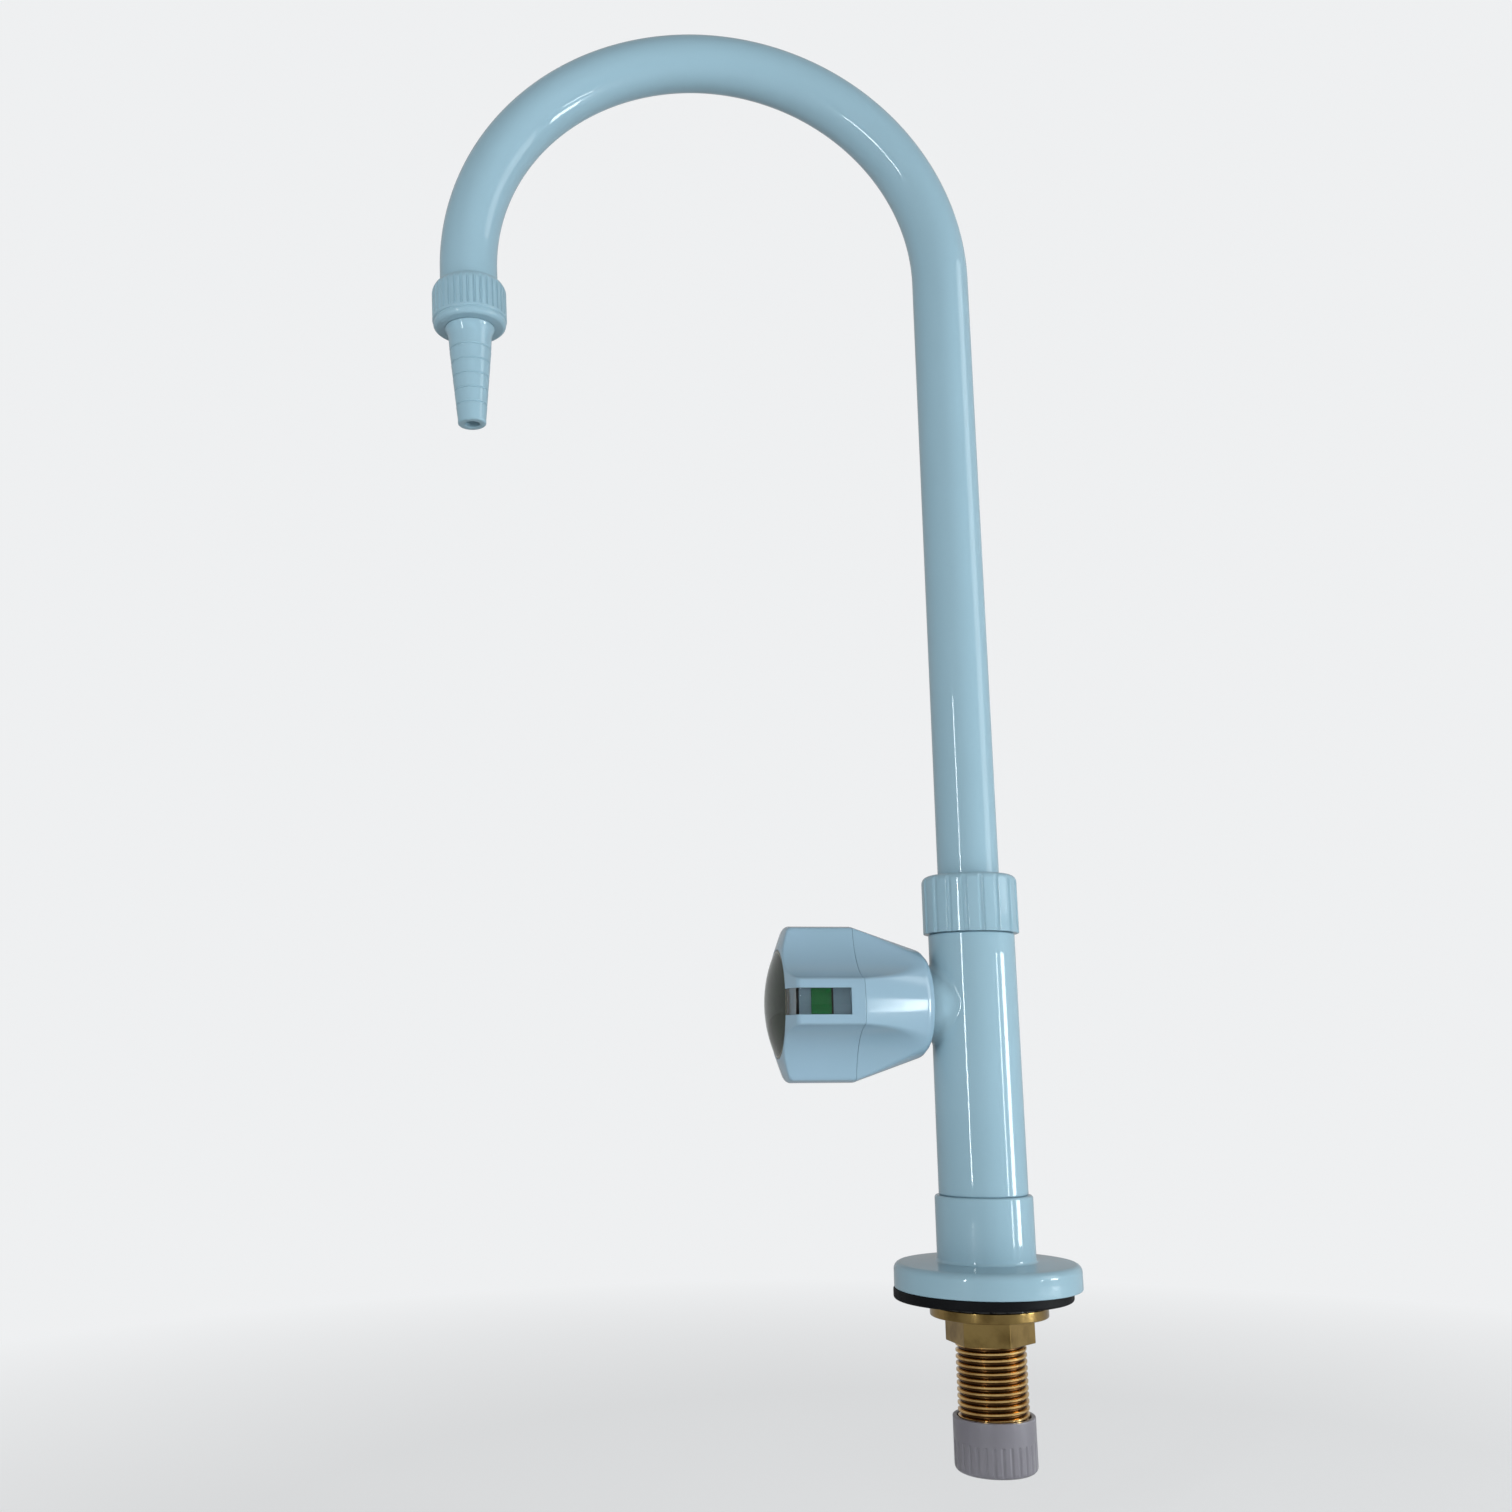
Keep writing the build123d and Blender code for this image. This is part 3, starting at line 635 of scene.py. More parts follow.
class Bench:
    """One mesh in work. It is shaped in edit mode on the world's axes and placed at the end."""

    def __init__(self, name: str) -> None:
        """Starts the mesh as a single vertex.

        Args:
            name: Name of the finished object.
        """
        clear_selection()
        bpy.ops.mesh.primitive_plane_add(size=MM)
        self.adopt(name)
        self.edit()
        bpy.ops.mesh.select_all(action="SELECT")
        bpy.ops.mesh.merge(type="CENTER")

    @classmethod
    def taken(cls, name: str) -> "Bench":
        """Takes the active object onto a bench of its own.

        Args:
            name: Name of the finished object.

        Returns:
            The bench.
        """
        made = cls.__new__(cls)
        made.adopt(name)
        return made

    @classmethod
    def rod(cls, name: str, radius: float, length: float, sides: int, place: Matrix) -> "Bench":
        """A straight rod, as a tool for cutting or a start for a prism.

        Args:
            name: Name of the object.
            radius: Radius to its corners, in millimetres.
            length: Its length, in millimetres.
            sides: Number of its sides.
            place: Where it lies.

        Returns:
            The rod on the bench.
        """
        clear_selection()
        bpy.ops.mesh.primitive_cylinder_add(vertices=sides, radius=radius * MM, depth=length * MM)
        made = cls.taken(name)
        made.object.matrix_world = place
        made.hold()
        bpy.ops.object.transform_apply(location=True, rotation=True, scale=True)
        return made

    @classmethod
    def ring(cls, name: str, radius: float, sides: int, height: float) -> "Bench":
        """An open round line, as the start of a tube.

        Args:
            name: Name of the object.
            radius: Its radius, in millimetres.
            sides: Number of its sides.
            height: Its height, in millimetres.

        Returns:
            The line on the bench, selected in edit mode.
        """
        clear_selection()
        bpy.ops.mesh.primitive_circle_add(vertices=sides, radius=radius * MM)
        made = cls.taken(name)
        made.edit()
        bpy.ops.mesh.select_all(action="SELECT")
        bpy.ops.transform.translate(value=(0, 0, height * MM))
        return made

    def adopt(self, name: str) -> None:
        """Takes the active object onto the bench and names it."""
        self.object: bpy.types.Object = bpy.context.object
        self.object.name = self.object.data.name = name

    def edit(self) -> None:
        """Goes into edit mode on this object alone."""
        if bpy.context.mode != "EDIT_MESH":
            self.hold()
            bpy.ops.object.mode_set(mode="EDIT")
            bpy.ops.mesh.select_mode(type="VERT")

    def hold(self) -> None:
        """Makes this the one selected and active object, in object mode."""
        clear_selection()
        self.object.select_set(True)
        bpy.context.view_layer.objects.active = self.object

    def draw(self, outline: Sequence[Corner], close: bool = True) -> "Bench":
        """Draws an outline from the single vertex by extruding it from corner to corner.

        Args:
            outline: The corners in order.
            close: Whether the last corner is joined to the first.

        Returns:
            The bench itself.
        """
        here = outline[0].point()
        bpy.ops.transform.translate(value=here)
        for corner in [*outline[1:], *([outline[0]] if close else [])]:
            step = corner.point() - here
            bpy.ops.mesh.extrude_region_move(TRANSFORM_OT_translate={"value": step})
            here = corner.point()
        bpy.ops.mesh.select_all(action="SELECT")
        bpy.ops.mesh.remove_doubles(threshold=WELD)
        for corner in outline:
            if corner.rounding:
                self.select(lambda p, spot=corner.point(): (p - spot).length < WELD)
                bpy.ops.mesh.bevel(offset=corner.rounding * MM, segments=5, affect="VERTICES")
        return self

    def pick(self, chosen: Sequence[int]) -> None:
        """Selects some vertices, and nothing else.

        Args:
            chosen: Their numbers.
        """
        bpy.ops.mesh.select_all(action="DESELECT")
        work = bmesh.from_edit_mesh(self.object.data)
        work.verts.ensure_lookup_table()
        for number in chosen:
            work.verts[number].select = True
        work.select_flush_mode()
        bmesh.update_edit_mesh(self.object.data)

    def select(self, test: Callable[[Vector], bool], rim_only: bool = False) -> None:
        """Selects the vertices whose place passes a test, and nothing else.

        Args:
            test: Says of a place whether it is chosen.
            rim_only: Whether only vertices on open edges count.
        """
        self.edit()
        work = bmesh.from_edit_mesh(self.object.data)
        chosen = (vertex for vertex in work.verts if test(vertex.co))
        self.pick([vertex.index for vertex in chosen if vertex.is_boundary or not rim_only])

    def spin(self, steps: int = 128) -> "Bench":
        """Turns the outline round the upright axis.

        Args:
            steps: Number of steps in the full turn.

        Returns:
            The bench itself.
        """
        self.edit()
        bpy.ops.mesh.select_all(action="SELECT")
        bpy.ops.mesh.spin(steps=steps, angle=2 * pi, center=(0, 0, 0), axis=(0, 0, 1))
        return self.weld()

    def extrude(self, step: Vector) -> "Bench":
        """Extrudes what is selected.

        Args:
            step: How far, in millimetres.

        Returns:
            The bench itself.
        """
        bpy.ops.mesh.extrude_region_move(TRANSFORM_OT_translate={"value": step * MM})
        return self

    def weld(self) -> "Bench":
        """Merges doubled vertices and turns all faces outwards.

        Returns:
            The bench itself.
        """
        self.edit()
        bpy.ops.mesh.select_all(action="SELECT")
        bpy.ops.mesh.remove_doubles(threshold=WELD)
        bpy.ops.mesh.normals_make_consistent(inside=False)
        return self

    def flute(self, count: int, centre: float, radius: float, low: float, high: float) -> "Bench":
        """Presses round grooves into the side, parallel to the upright axis.

        Args:
            count: Number of grooves.
            centre: Distance from the axis to a groove's own axis, in millimetres.
            radius: Radius of a groove, in millimetres.
            low: Lowest height that is pressed, in millimetres.
            high: Highest height that is pressed, in millimetres.

        Returns:
            The bench itself.
        """
        pitch = 2 * pi / count
        self.edit()
        work = bmesh.from_edit_mesh(self.object.data)
        rings: dict[float, list[int]] = {}
        for vertex in work.verts:
            x, y, z = vertex.co / MM
            away = (atan2(y, x) + pitch / 2) % pitch - pitch / 2
            floor = hollow(away, centre, radius)
            if low <= z <= high and hypot(x, y) > floor:
                rings.setdefault(round(floor / hypot(x, y), 5), []).append(vertex.index)
        for factor, ring in rings.items():
            self.pick(ring)
            bpy.ops.transform.resize(value=(factor, factor, 1), center_override=(0, 0, 0))
        return self

    def modify(self, kind: str, **settings: object) -> "Bench":
        """Adds a modifier and applies it.

        Args:
            kind: The modifier's type.
            settings: Its properties.

        Returns:
            The bench itself.
        """
        self.hold()
        bpy.ops.object.modifier_add(type=kind)
        modifier = self.object.modifiers[-1]
        for name, setting in settings.items():
            setattr(modifier, name, setting)
        bpy.ops.object.modifier_apply(modifier=modifier.name)
        return self

    def combine(self, other: "Bench", how: Cut) -> "Bench":
        """Cuts or joins with another solid, which is used up.

        Args:
            other: The other solid.
            how: What is kept.

        Returns:
            The bench itself.
        """
        self.modify("BOOLEAN", operation=how.value, solver="EXACT", object=other.object)
        bpy.data.objects.remove(other.object)
        return self

    def soften(self, width: float, segments: int = 2, angle: float = 40.0) -> "Bench":
        """Rounds the sharp edges with a bevel.

        Args:
            width: How far the bevel reaches, in millimetres.
            segments: Number of its steps.
            angle: Edges sharper than this are rounded, in degrees.

        Returns:
            The bench itself.
        """
        limit = radians(angle)
        return self.modify(
            "BEVEL", width=width * MM, segments=segments, limit_method="ANGLE", angle_limit=limit
        )

    def copies(self, count: int) -> "Bench":
        """Repeats the piece round the upright axis, each copy with its own mesh, and joins them.

        Args:
            count: How many there are in the end.

        Returns:
            The bench itself.
        """
        self.hold()
        for turn in range(1, count):
            copy = self.object.copy()
            copy.data = self.object.data.copy()
            copy.matrix_world = Matrix.Rotation(turn * 2 * pi / count, 4, "Z")
            bpy.context.collection.objects.link(copy)
            copy.select_set(True)
        bpy.ops.object.join()
        return self

    def place(self, spot: Matrix, angle: float = 32.0) -> bpy.types.Object:
        """Puts the piece in its place in the tap and smooths it.

        Args:
            spot: Where the bench's axes lie in the tap.
            angle: Edges sharper than this stay sharp, in degrees.

        Returns:
            The finished object, with its place in its mesh.
        """
        self.hold()
        self.object.matrix_world = spot
        bpy.ops.object.transform_apply(location=True, rotation=True, scale=True)
        bpy.ops.object.shade_smooth_by_angle(angle=radians(angle))
        return self.modify("WEIGHTED_NORMAL", keep_sharp=True).object


def seat(origin: tuple[float, float, float], x_axis: Vector, z_axis: Vector) -> Matrix:
    """The matrix that takes the bench's axes to a place in the tap.

    Args:
        origin: Where the bench's origin goes, in millimetres.
        x_axis: Where the bench's X axis points.
        z_axis: Where the bench's upright axis points.

    Returns:
        The matrix, in metres.
    """
    y_axis = z_axis.cross(x_axis)
    turn = Matrix((x_axis, y_axis, z_axis)).transposed().to_4x4()
    return Matrix.Translation(Vector(origin) * MM) @ turn


UPRIGHT = Matrix.Identity(4)
ON_HANDLE = seat((0, 0, HANDLE_HEIGHT), Vector((0, -1, 0)), Vector((-1, 0, 0)))


def dress(piece: bpy.types.Object, body: str, slot: str, finish: Finish, *nodes: str) -> None:
    """Gives a new piece its finish, its body and the CAD nodes that it stands for.

    Args:
        piece: The finished object.
        body: The CAD body that it rides on.
        slot: The record's material slot; not used.
        finish: Its finish.
        nodes: The CAD nodes that it replaces.
    """
    piece.data.materials.clear()
    piece.data.materials.append(finish.material())
    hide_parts(*nodes)
    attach(piece, body)
    LOG.info("%s: %d faces, rides on %s", piece.name, len(piece.data.polygons), body)


def dress_nodes(finish: Finish, *nodes: str) -> None:
    """Gives CAD nodes that stay their finish.

    Args:
        finish: Their finish.
        nodes: Names of the CAD nodes.
    """
    for node in nodes:
        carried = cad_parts[node]
        if not carried.material_slots:
            carried.data.materials.append(None)
        for material_slot in carried.material_slots:
            material_slot.material = finish.material()
        LOG.info("%s: kept from the frame", node)


# The tap's sub-assemblies, sizes in millimetres


@dataclass
class Column:
    """The fixed part: flange, socket, body with its side boss, fluted collar, gasket and threaded shank.

    The thread's rib is given over one pitch, as shares of the pitch and of the height from root to crest.
    """

    deck_line: float = 3.0
    gasket_radius: float = 26.75
    gasket_bore: float = 12.6
    gasket_shift: float = -1.6
    recess_radius: float = 21.0
    recess_depth: float = 0.4
    flange_radius: float = 28.0
    flange_bore: float = 10.58
    flange_edge: float = 10.2
    flange_foot: float = 10.7
    socket_radius: float = 14.8
    socket_bore: float = 11.5
    socket_floor: float = 12.0
    socket_top: float = 29.7
    collar_base: float = 108.5
    collar_top: float = 126.8
    collar_radius: float = 15.0
    collar_bore: float = 12.5
    collar_lip: float = 9.78
    collar_lip_base: float = 121.9
    collar_grooves: int = 18
    collar_turn: float = 8.5
    groove_radius: float = 1.0
    groove_depth: float = 0.6
    groove_steps: int = 24
    thread_radius: float = 10.4775
    thread_root: float = 9.3155
    thread_pitch: float = 1.814
    thread_start: float = -49.0
    thread_turns: int = 34
    thread_steps: int = 64
    thread_slack: float = 0.01
    tail_below: float = 3.0
    tail_above: float = 14.0
    thread_rib: tuple[Pair, ...] = (
        (0.0, 0.0),
        (0.15, 0.03),
        (0.36, 0.92),
        (0.42, 1.0),
        (0.68, 1.0),
        (0.74, 0.92),
        (0.95, 0.03),
        (1.0, 0.0),
    )
    blank_clearance: float = 0.2
    seat_clearance: float = 0.05
    lead_in: float = 1.3
    shank_bore: float = 6.2
    shank_end: float = -45.6
    tenon_radius: float = 8.0
    tenon_top: float = 24.0

    def build(self) -> None:
        """Builds and dresses the whole column."""
        dress(self.flange(), "column", "epoxy_coat", COAT, "base_flange")
        dress(self.collar(), "column", "epoxy_coat", COAT, "swivel_collar")
        dress(self.gasket(), "column", "gasket_rubber", GASKET_RUBBER, "deck_gasket")
        dress(self.shank(), "column", "shank_brass", THREAD_BRASS, "threaded_shank")
        dress_nodes(COAT, "column_body")
        dress_nodes(SEAL_RUBBER, "shank_seal", "headwork_seal", "seat_seal")
        dress_nodes(NYLON, "slip_ring")
        dress_nodes(INNER_BRASS, "headwork_body")
        dress_nodes(CERAMIC, "fixed_disc")

    def flange(self) -> bpy.types.Object:
        """Turns the flange with its tall socket.

        Returns:
            The finished piece.
        """
        outline = (
            Corner(self.flange_bore, self.deck_line),
            Corner(self.flange_radius, self.deck_line, 0.4),
            Corner(self.flange_radius, self.flange_edge, 2.0),
            Corner(self.socket_radius, self.flange_foot, 0.9),
            Corner(self.socket_radius, self.socket_top, 0.8),
            Corner(self.socket_bore, self.socket_top),
            Corner(self.socket_bore, self.socket_floor),
            Corner(self.flange_bore, self.socket_floor),
        )
        return Bench("flange_and_socket").draw(outline).spin().place(UPRIGHT)

    def collar(self) -> bpy.types.Object:
        """Turns the collar and presses its grooves.

        Returns:
            The finished piece.
        """
        outline = (
            Corner(self.collar_bore, self.collar_base),
            Corner(self.collar_radius, self.collar_base, 0.3),
            Corner(self.collar_radius, self.collar_top, 2.2),
            Corner(self.collar_lip, self.collar_top, 0.3),
            Corner(self.collar_lip, self.collar_lip_base),
            Corner(self.collar_bore, self.collar_lip_base),
        )
        ring = Bench("fluted_collar").draw(outline).spin(self.collar_grooves * self.groove_steps)
        centre = self.collar_radius + self.groove_radius - self.groove_depth
        ring.flute(self.collar_grooves, centre, self.groove_radius, self.collar_base, self.collar_top)
        return ring.place(Matrix.Rotation(radians(self.collar_turn), 4, "Z"))

    def gasket(self) -> bpy.types.Object:
        """Turns the wide gasket, which has slipped a little to the handle's side.

        Returns:
            The finished piece.
        """
        outline = (
            Corner(self.gasket_bore, self.recess_depth),
            Corner(self.recess_radius, self.recess_depth),
            Corner(self.recess_radius, 0.0),
            Corner(self.gasket_radius, 0.0, 0.7),
            Corner(self.gasket_radius, self.deck_line, 0.5),
            Corner(self.gasket_bore, self.deck_line),
        )
        slipped = Matrix.Translation((self.gasket_shift * MM, 0, 0))
        return Bench("wide_gasket").draw(outline).spin().place(slipped)

    def helix(self) -> Bench:
        """Winds the thread past both ends of the shank and closes it there.

        Returns:
            The closed helix on the bench.
        """
        start, pitch, turns = self.thread_start, self.thread_pitch, self.thread_turns
        root, depth = self.thread_root, self.thread_radius - self.thread_root
        outline = [
            Corner(root + depth * height, start + pitch * share) for share, height in self.thread_rib
        ]
        helix = Bench("threaded_shank_helix").draw(outline, close=False)
        steps = {"steps": self.thread_steps, "render_steps": self.thread_steps}
        helix.modify("SCREW", **steps, iterations=turns, screw_offset=pitch * MM).weld()
        low, high = start + pitch + self.thread_slack, start + turns * pitch - self.thread_slack
        ends = ((lambda p: p.z / MM < low, -self.tail_below), (lambda p: p.z / MM > high, self.tail_above))
        for test, rise in ends:
            helix.select(test, rim_only=True)
            helix.extrude(Vector((0, 0, rise))).extrude(Vector((0, 0, 0)))
            bpy.ops.mesh.merge(type="CENTER")
        return helix.weld()

    def shank(self) -> bpy.types.Object:
        """Trims the helical thread to the shank's outline and bores it.

        Returns:
            The finished piece.
        """
        helix = self.helix()
        outside = self.thread_radius + self.blank_clearance
        shoulder = self.socket_floor - self.seat_clearance
        outline = (
            Corner(self.shank_bore, self.shank_end, 0.4),
            Corner(self.thread_root + 0.1, self.shank_end),
            Corner(outside, self.shank_end + self.lead_in),
            Corner(outside, shoulder),
            Corner(self.tenon_radius, shoulder),
            Corner(self.tenon_radius, self.tenon_top),
            Corner(self.shank_bore, self.tenon_top),
        )
        blank = Bench("shank_outline").draw(outline).spin()
        return helix.combine(blank, Cut.COMMON).place(UPRIGHT, angle=40.0)


@dataclass
class Clamp:
    """The brass nut and the slotted washer that draw the tap down onto the deck."""

    washer_radius: float = 18.2
    washer_top: float = 0.3
    washer_base: float = -1.7
    washer_slots: int = 24
    slot_radius: float = 0.7
    slot_length: float = 12.0
    slot_slant: float = 42.0
    bore: float = 10.558
    bore_chamfer: float = 0.6
    flange_radius: float = 17.6
    nut_top: float = -1.75
    flange_base: float = -4.75
    nut_base: float = -12.15
    overlap: float = 0.5
    across_flats: float = 23.0
    nut_turn: float = 9.0
    nut_edge: float = 0.25
    past: float = 2.0

    def build(self) -> None:
        """Builds and dresses both pieces."""
        dress(self.washer(), "clamp", "black_plastic", BLACK_PLASTIC, "ribbed_washer")
        dress(self.nut(), "clamp", "nut_brass", NUT_BRASS, "mounting_nut")

    def washer(self) -> bpy.types.Object:
        """Turns the washer and cuts its slanted slots.

        Returns:
            The finished piece.
        """
        outline = (
            Corner(self.bore, self.washer_base),
            Corner(self.washer_radius, self.washer_base, 0.3),
            Corner(self.washer_radius, self.washer_top, 0.3),
            Corner(self.bore, self.washer_top),
        )
        ring = Bench("slotted_washer").draw(outline).spin(steps=144)
        middle = (self.washer_base + self.washer_top) / 2
        slanted = Matrix.Translation(Vector((self.washer_radius, 0, middle)) * MM)
        slanted = slanted @ Matrix.Rotation(radians(self.slot_slant), 4, "X")
        slots = Bench.rod("slots", self.slot_radius, self.slot_length, sides=20, place=slanted)
        return ring.combine(slots.copies(self.washer_slots), Cut.AWAY).place(UPRIGHT)

    def nut(self) -> bpy.types.Object:
        """Joins the nut's hexagon and its round flange, bores them and breaks their edges.

        Returns:
            The finished piece.
        """
        top = self.flange_base + self.overlap
        lifted = Matrix.Translation((0, 0, (self.nut_base + top) / 2 * MM))
        turned = lifted @ Matrix.Rotation(radians(self.nut_turn), 4, "Z")
        corners = self.across_flats / sqrt(3)
        hexagon = Bench.rod("brass_nut", corners, top - self.nut_base, sides=6, place=turned)
        flange = Bench("nut_flange").draw(
            (
                Corner(0.0, self.flange_base),
                Corner(self.flange_radius, self.flange_base, 0.35),
                Corner(self.flange_radius, self.nut_top, 0.35),
                Corner(0.0, self.nut_top),
            )
        )
        drill = Bench("nut_bore").draw(
            (
                Corner(self.bore, self.nut_base),
                Corner(self.bore + self.bore_chamfer, self.nut_base - self.bore_chamfer),
                Corner(self.bore + self.bore_chamfer, self.nut_base - self.past),
                Corner(0.0, self.nut_base - self.past),
                Corner(0.0, self.nut_top + self.past),
                Corner(self.bore, self.nut_top + self.past),
            )
        )
        hexagon.soften(self.nut_edge, segments=3)
        return hexagon.combine(flange.spin(), Cut.TOGETHER).combine(drill.spin(), Cut.AWAY).place(UPRIGHT)


@dataclass
class ThreadCap:
    """The plastic cap that protects the thread until the tap is fitted."""

    rim: float = -32.3
    base: float = -47.3
    radius: float = 12.1
    bore: float = 10.78
    floor: float = 1.3
    grooves: int = 30
    groove_radius: float = 0.6
    groove_depth: float = 0.3
    groove_steps: int = 12
    grooved_length: float = 8.6
    groove_start: float = 0.5
    groove_runout: float = 0.25

    def build(self) -> None:
        """Builds and dresses the cap."""
        dress(self.cup(), "cap", "cap_plastic", CAP_PLASTIC, "thread_cap")

    def cup(self) -> bpy.types.Object:
        """Turns the cup and presses its grooves.

        Returns:
            The finished piece.
        """
        groove_top = self.base + self.grooved_length
        outline = (
            Corner(0.0, self.base),
            Corner(self.radius, self.base, 1.6),
            Corner(self.radius, groove_top - self.groove_runout),
            Corner(self.radius, groove_top),
            Corner(self.radius, self.rim, 0.3),
            Corner(self.bore, self.rim, 0.3),
            Corner(self.bore, self.base + self.floor, 0.6),
            Corner(0.0, self.base + self.floor),
        )
        cup = Bench("protective_cap").draw(outline, close=False).spin(self.grooves * self.groove_steps)
        centre = self.radius + self.groove_radius - self.groove_depth
        cup.flute(self.grooves, centre, self.groove_radius, self.base + self.groove_start, groove_top - 0.1)
        return cup.place(UPRIGHT)


@dataclass
class Spout:
    """The swan neck with its outlet nut and hose nozzle.

    Stations of the nut and the nozzle count from the tube's end, along its last stretch.
    """

    foot: float = 120.55
    radius: float = 9.7
    wall: float = 1.2
    sides: int = 96
    rows: int = 24
    arch_radius: float = 82.5
    arch_height: float = 337.5
    arch_steps: int = 122
    sweep: float = 183.0
    leg: float = 9.7
    nut_top: float = -3.0
    nut_end: float = 12.5
    nut_radius: float = 12.5
    nut_bore: float = 10.65
    nut_floor: float = 11.1
    nut_step: float = 1.2
    nut_shoulder: float = 2.0
    rim_width: float = 2.6
    bead_groove: float = 0.5
    bead_step: float = 0.3
    bead_length: float = 0.9
    flutes: int = 36
    flute_depth: float = 0.5
    flute_start: float = 0.6
    flute_end: float = 0.9
    flute_runout: Pair = (1.05, 0.8)
    flute_steps: int = 12
    neck_radius: float = 7.4
    neck_clearance: float = 0.1
    flare: float = 0.9
    flare_start: float = 0.1
    flare_rim: float = 0.4
    flare_length: float = 2.1
    nozzle_root: float = 20.5
    nozzle_end: float = 47.3
    nozzle_seat: float = 9.05
    nozzle_flange: float = 10.4
    nozzle_flange_end: float = 11.0
    nozzle_bore: float = 2.5
    tip_radius: float = 4.7
    barbs: int = 5
    barb_length: float = 5.0
    barb_step: float = 0.35

    def last_stretch(self) -> Vector:
        """The direction of the tube's last stretch."""
        lean = radians(self.sweep - 180)
        return Vector((sin(lean), 0, -cos(lean)))

    def outlet(self) -> Matrix:
        """The seat of the outlet's pieces, at the tube's end and along its last stretch.

        Returns:
            The matrix that takes the bench's axes there.
        """
        along = self.last_stretch()
        end = (
            -self.arch_radius * (1 - along.z) + self.leg * along.x,
            0,
            self.arch_height - self.arch_radius * along.x + self.leg * along.z,
        )
        return seat(end, Vector((-along.z, 0, along.x)), along)

    def build(self) -> None:
        """Builds and dresses the whole spout."""
        dress(self.tube(), "spout", "epoxy_coat", COAT, "gooseneck_tube")
        dress(self.nut(), "spout", "epoxy_coat", COAT, "outlet_nut")
        dress(self.nozzle(), "spout", "epoxy_coat", COAT, "hose_nozzle")
        dress_nodes(INNER_BRASS, "swivel_spigot", "outlet_adapter")
        dress_nodes(SEAL_RUBBER, "spigot_seals", "outlet_seal")

    def tube(self) -> bpy.types.Object:
        """Extrudes a circle up the column, spins it over the arch and gives it its wall.

        Returns:
            The finished piece.
        """
        pipe = Bench.ring("swan_neck", self.radius, self.sides, self.foot)
        rise = Vector((0, 0, (self.arch_height - self.foot) / self.rows))
        for _ in range(self.rows):
            pipe.extrude(rise)
        centre = (-self.arch_radius * MM, 0, self.arch_height * MM)
        bpy.ops.mesh.spin(steps=self.arch_steps, angle=radians(self.sweep), center=centre, axis=(0, 1, 0))
        pipe.extrude(self.last_stretch() * self.leg).weld()
        return pipe.modify("SOLIDIFY", thickness=self.wall * MM, offset=-1).place(UPRIGHT)

    def nut(self) -> bpy.types.Object:
        """Turns the outlet nut and presses its flutes.

        Returns:
            The finished piece.
        """
        rim = self.nut_end - self.rim_width
        bead = self.nut_radius - self.bead_step
        mouth = self.neck_radius + self.neck_clearance
        outline = (
            Corner(self.nut_bore, self.nut_top),
            Corner(self.nut_radius - self.nut_step, self.nut_top, 0.4),
            Corner(self.nut_radius, self.nut_top + self.nut_shoulder, 0.9),
            *(Corner(self.nut_radius, rim - step) for step in self.flute_runout),
            Corner(self.nut_radius, rim, 0.2),
            Corner(self.nut_radius - self.bead_groove, rim + self.bead_step, 0.15),
            Corner(bead, rim + 2 * self.bead_step, 0.1),
            Corner(bead, self.nut_end - self.bead_length, 0.5),
            Corner(self.nut_radius - self.nut_step, self.nut_end, 0.5),
            Corner(mouth, self.nut_end),
            Corner(mouth, self.nut_floor),
            Corner(self.nut_bore, self.nut_floor),
        )
        ring = Bench("fluted_outlet_nut").draw(outline).spin(self.flutes * self.flute_steps)
        low, high = self.nut_top + self.flute_start, rim - self.flute_end
        ring.flute(self.flutes, self.nut_radius, self.flute_depth, low, high)
        return ring.place(self.outlet())

    def nozzle(self) -> bpy.types.Object:
        """Turns the nozzle with its barbs and its bore.

        Returns:
            The finished piece.
        """
        fall = (self.neck_radius - self.tip_radius) / (self.barbs + 1)
        flared = self.neck_radius + self.flare
        start = self.nut_end + self.flare_start
        outline = [
            Corner(self.nozzle_bore, self.nozzle_seat),
            Corner(self.nozzle_flange, self.nozzle_seat),
            Corner(self.nozzle_flange, self.nozzle_flange_end),
            Corner(self.neck_radius, self.nozzle_flange_end),
            Corner(self.neck_radius, start),
            Corner(flared, start, 0.1),
            Corner(flared, start + self.flare_rim, 0.1),
            Corner(self.neck_radius - 0.1, start + self.flare_length, 1.6),
            Corner(self.neck_radius - fall, self.nozzle_root, 0.15),
        ]
        for barb in range(self.barbs):
            crest = self.neck_radius - fall * (barb + 1)
            station = self.nozzle_root + barb * self.barb_length
            outline += [
                Corner(crest - self.barb_step, station + self.barb_step, 0.1),
                Corner(crest, station + 2 * self.barb_step, 0.15),
                Corner(crest - fall, station + self.barb_length),
            ]
        outline += [
            Corner(self.tip_radius, self.nozzle_end, 0.6),
            Corner(self.nozzle_bore, self.nozzle_end, 0.3),
        ]
        return Bench("barbed_nozzle").draw(outline).spin(steps=96).place(self.outlet())


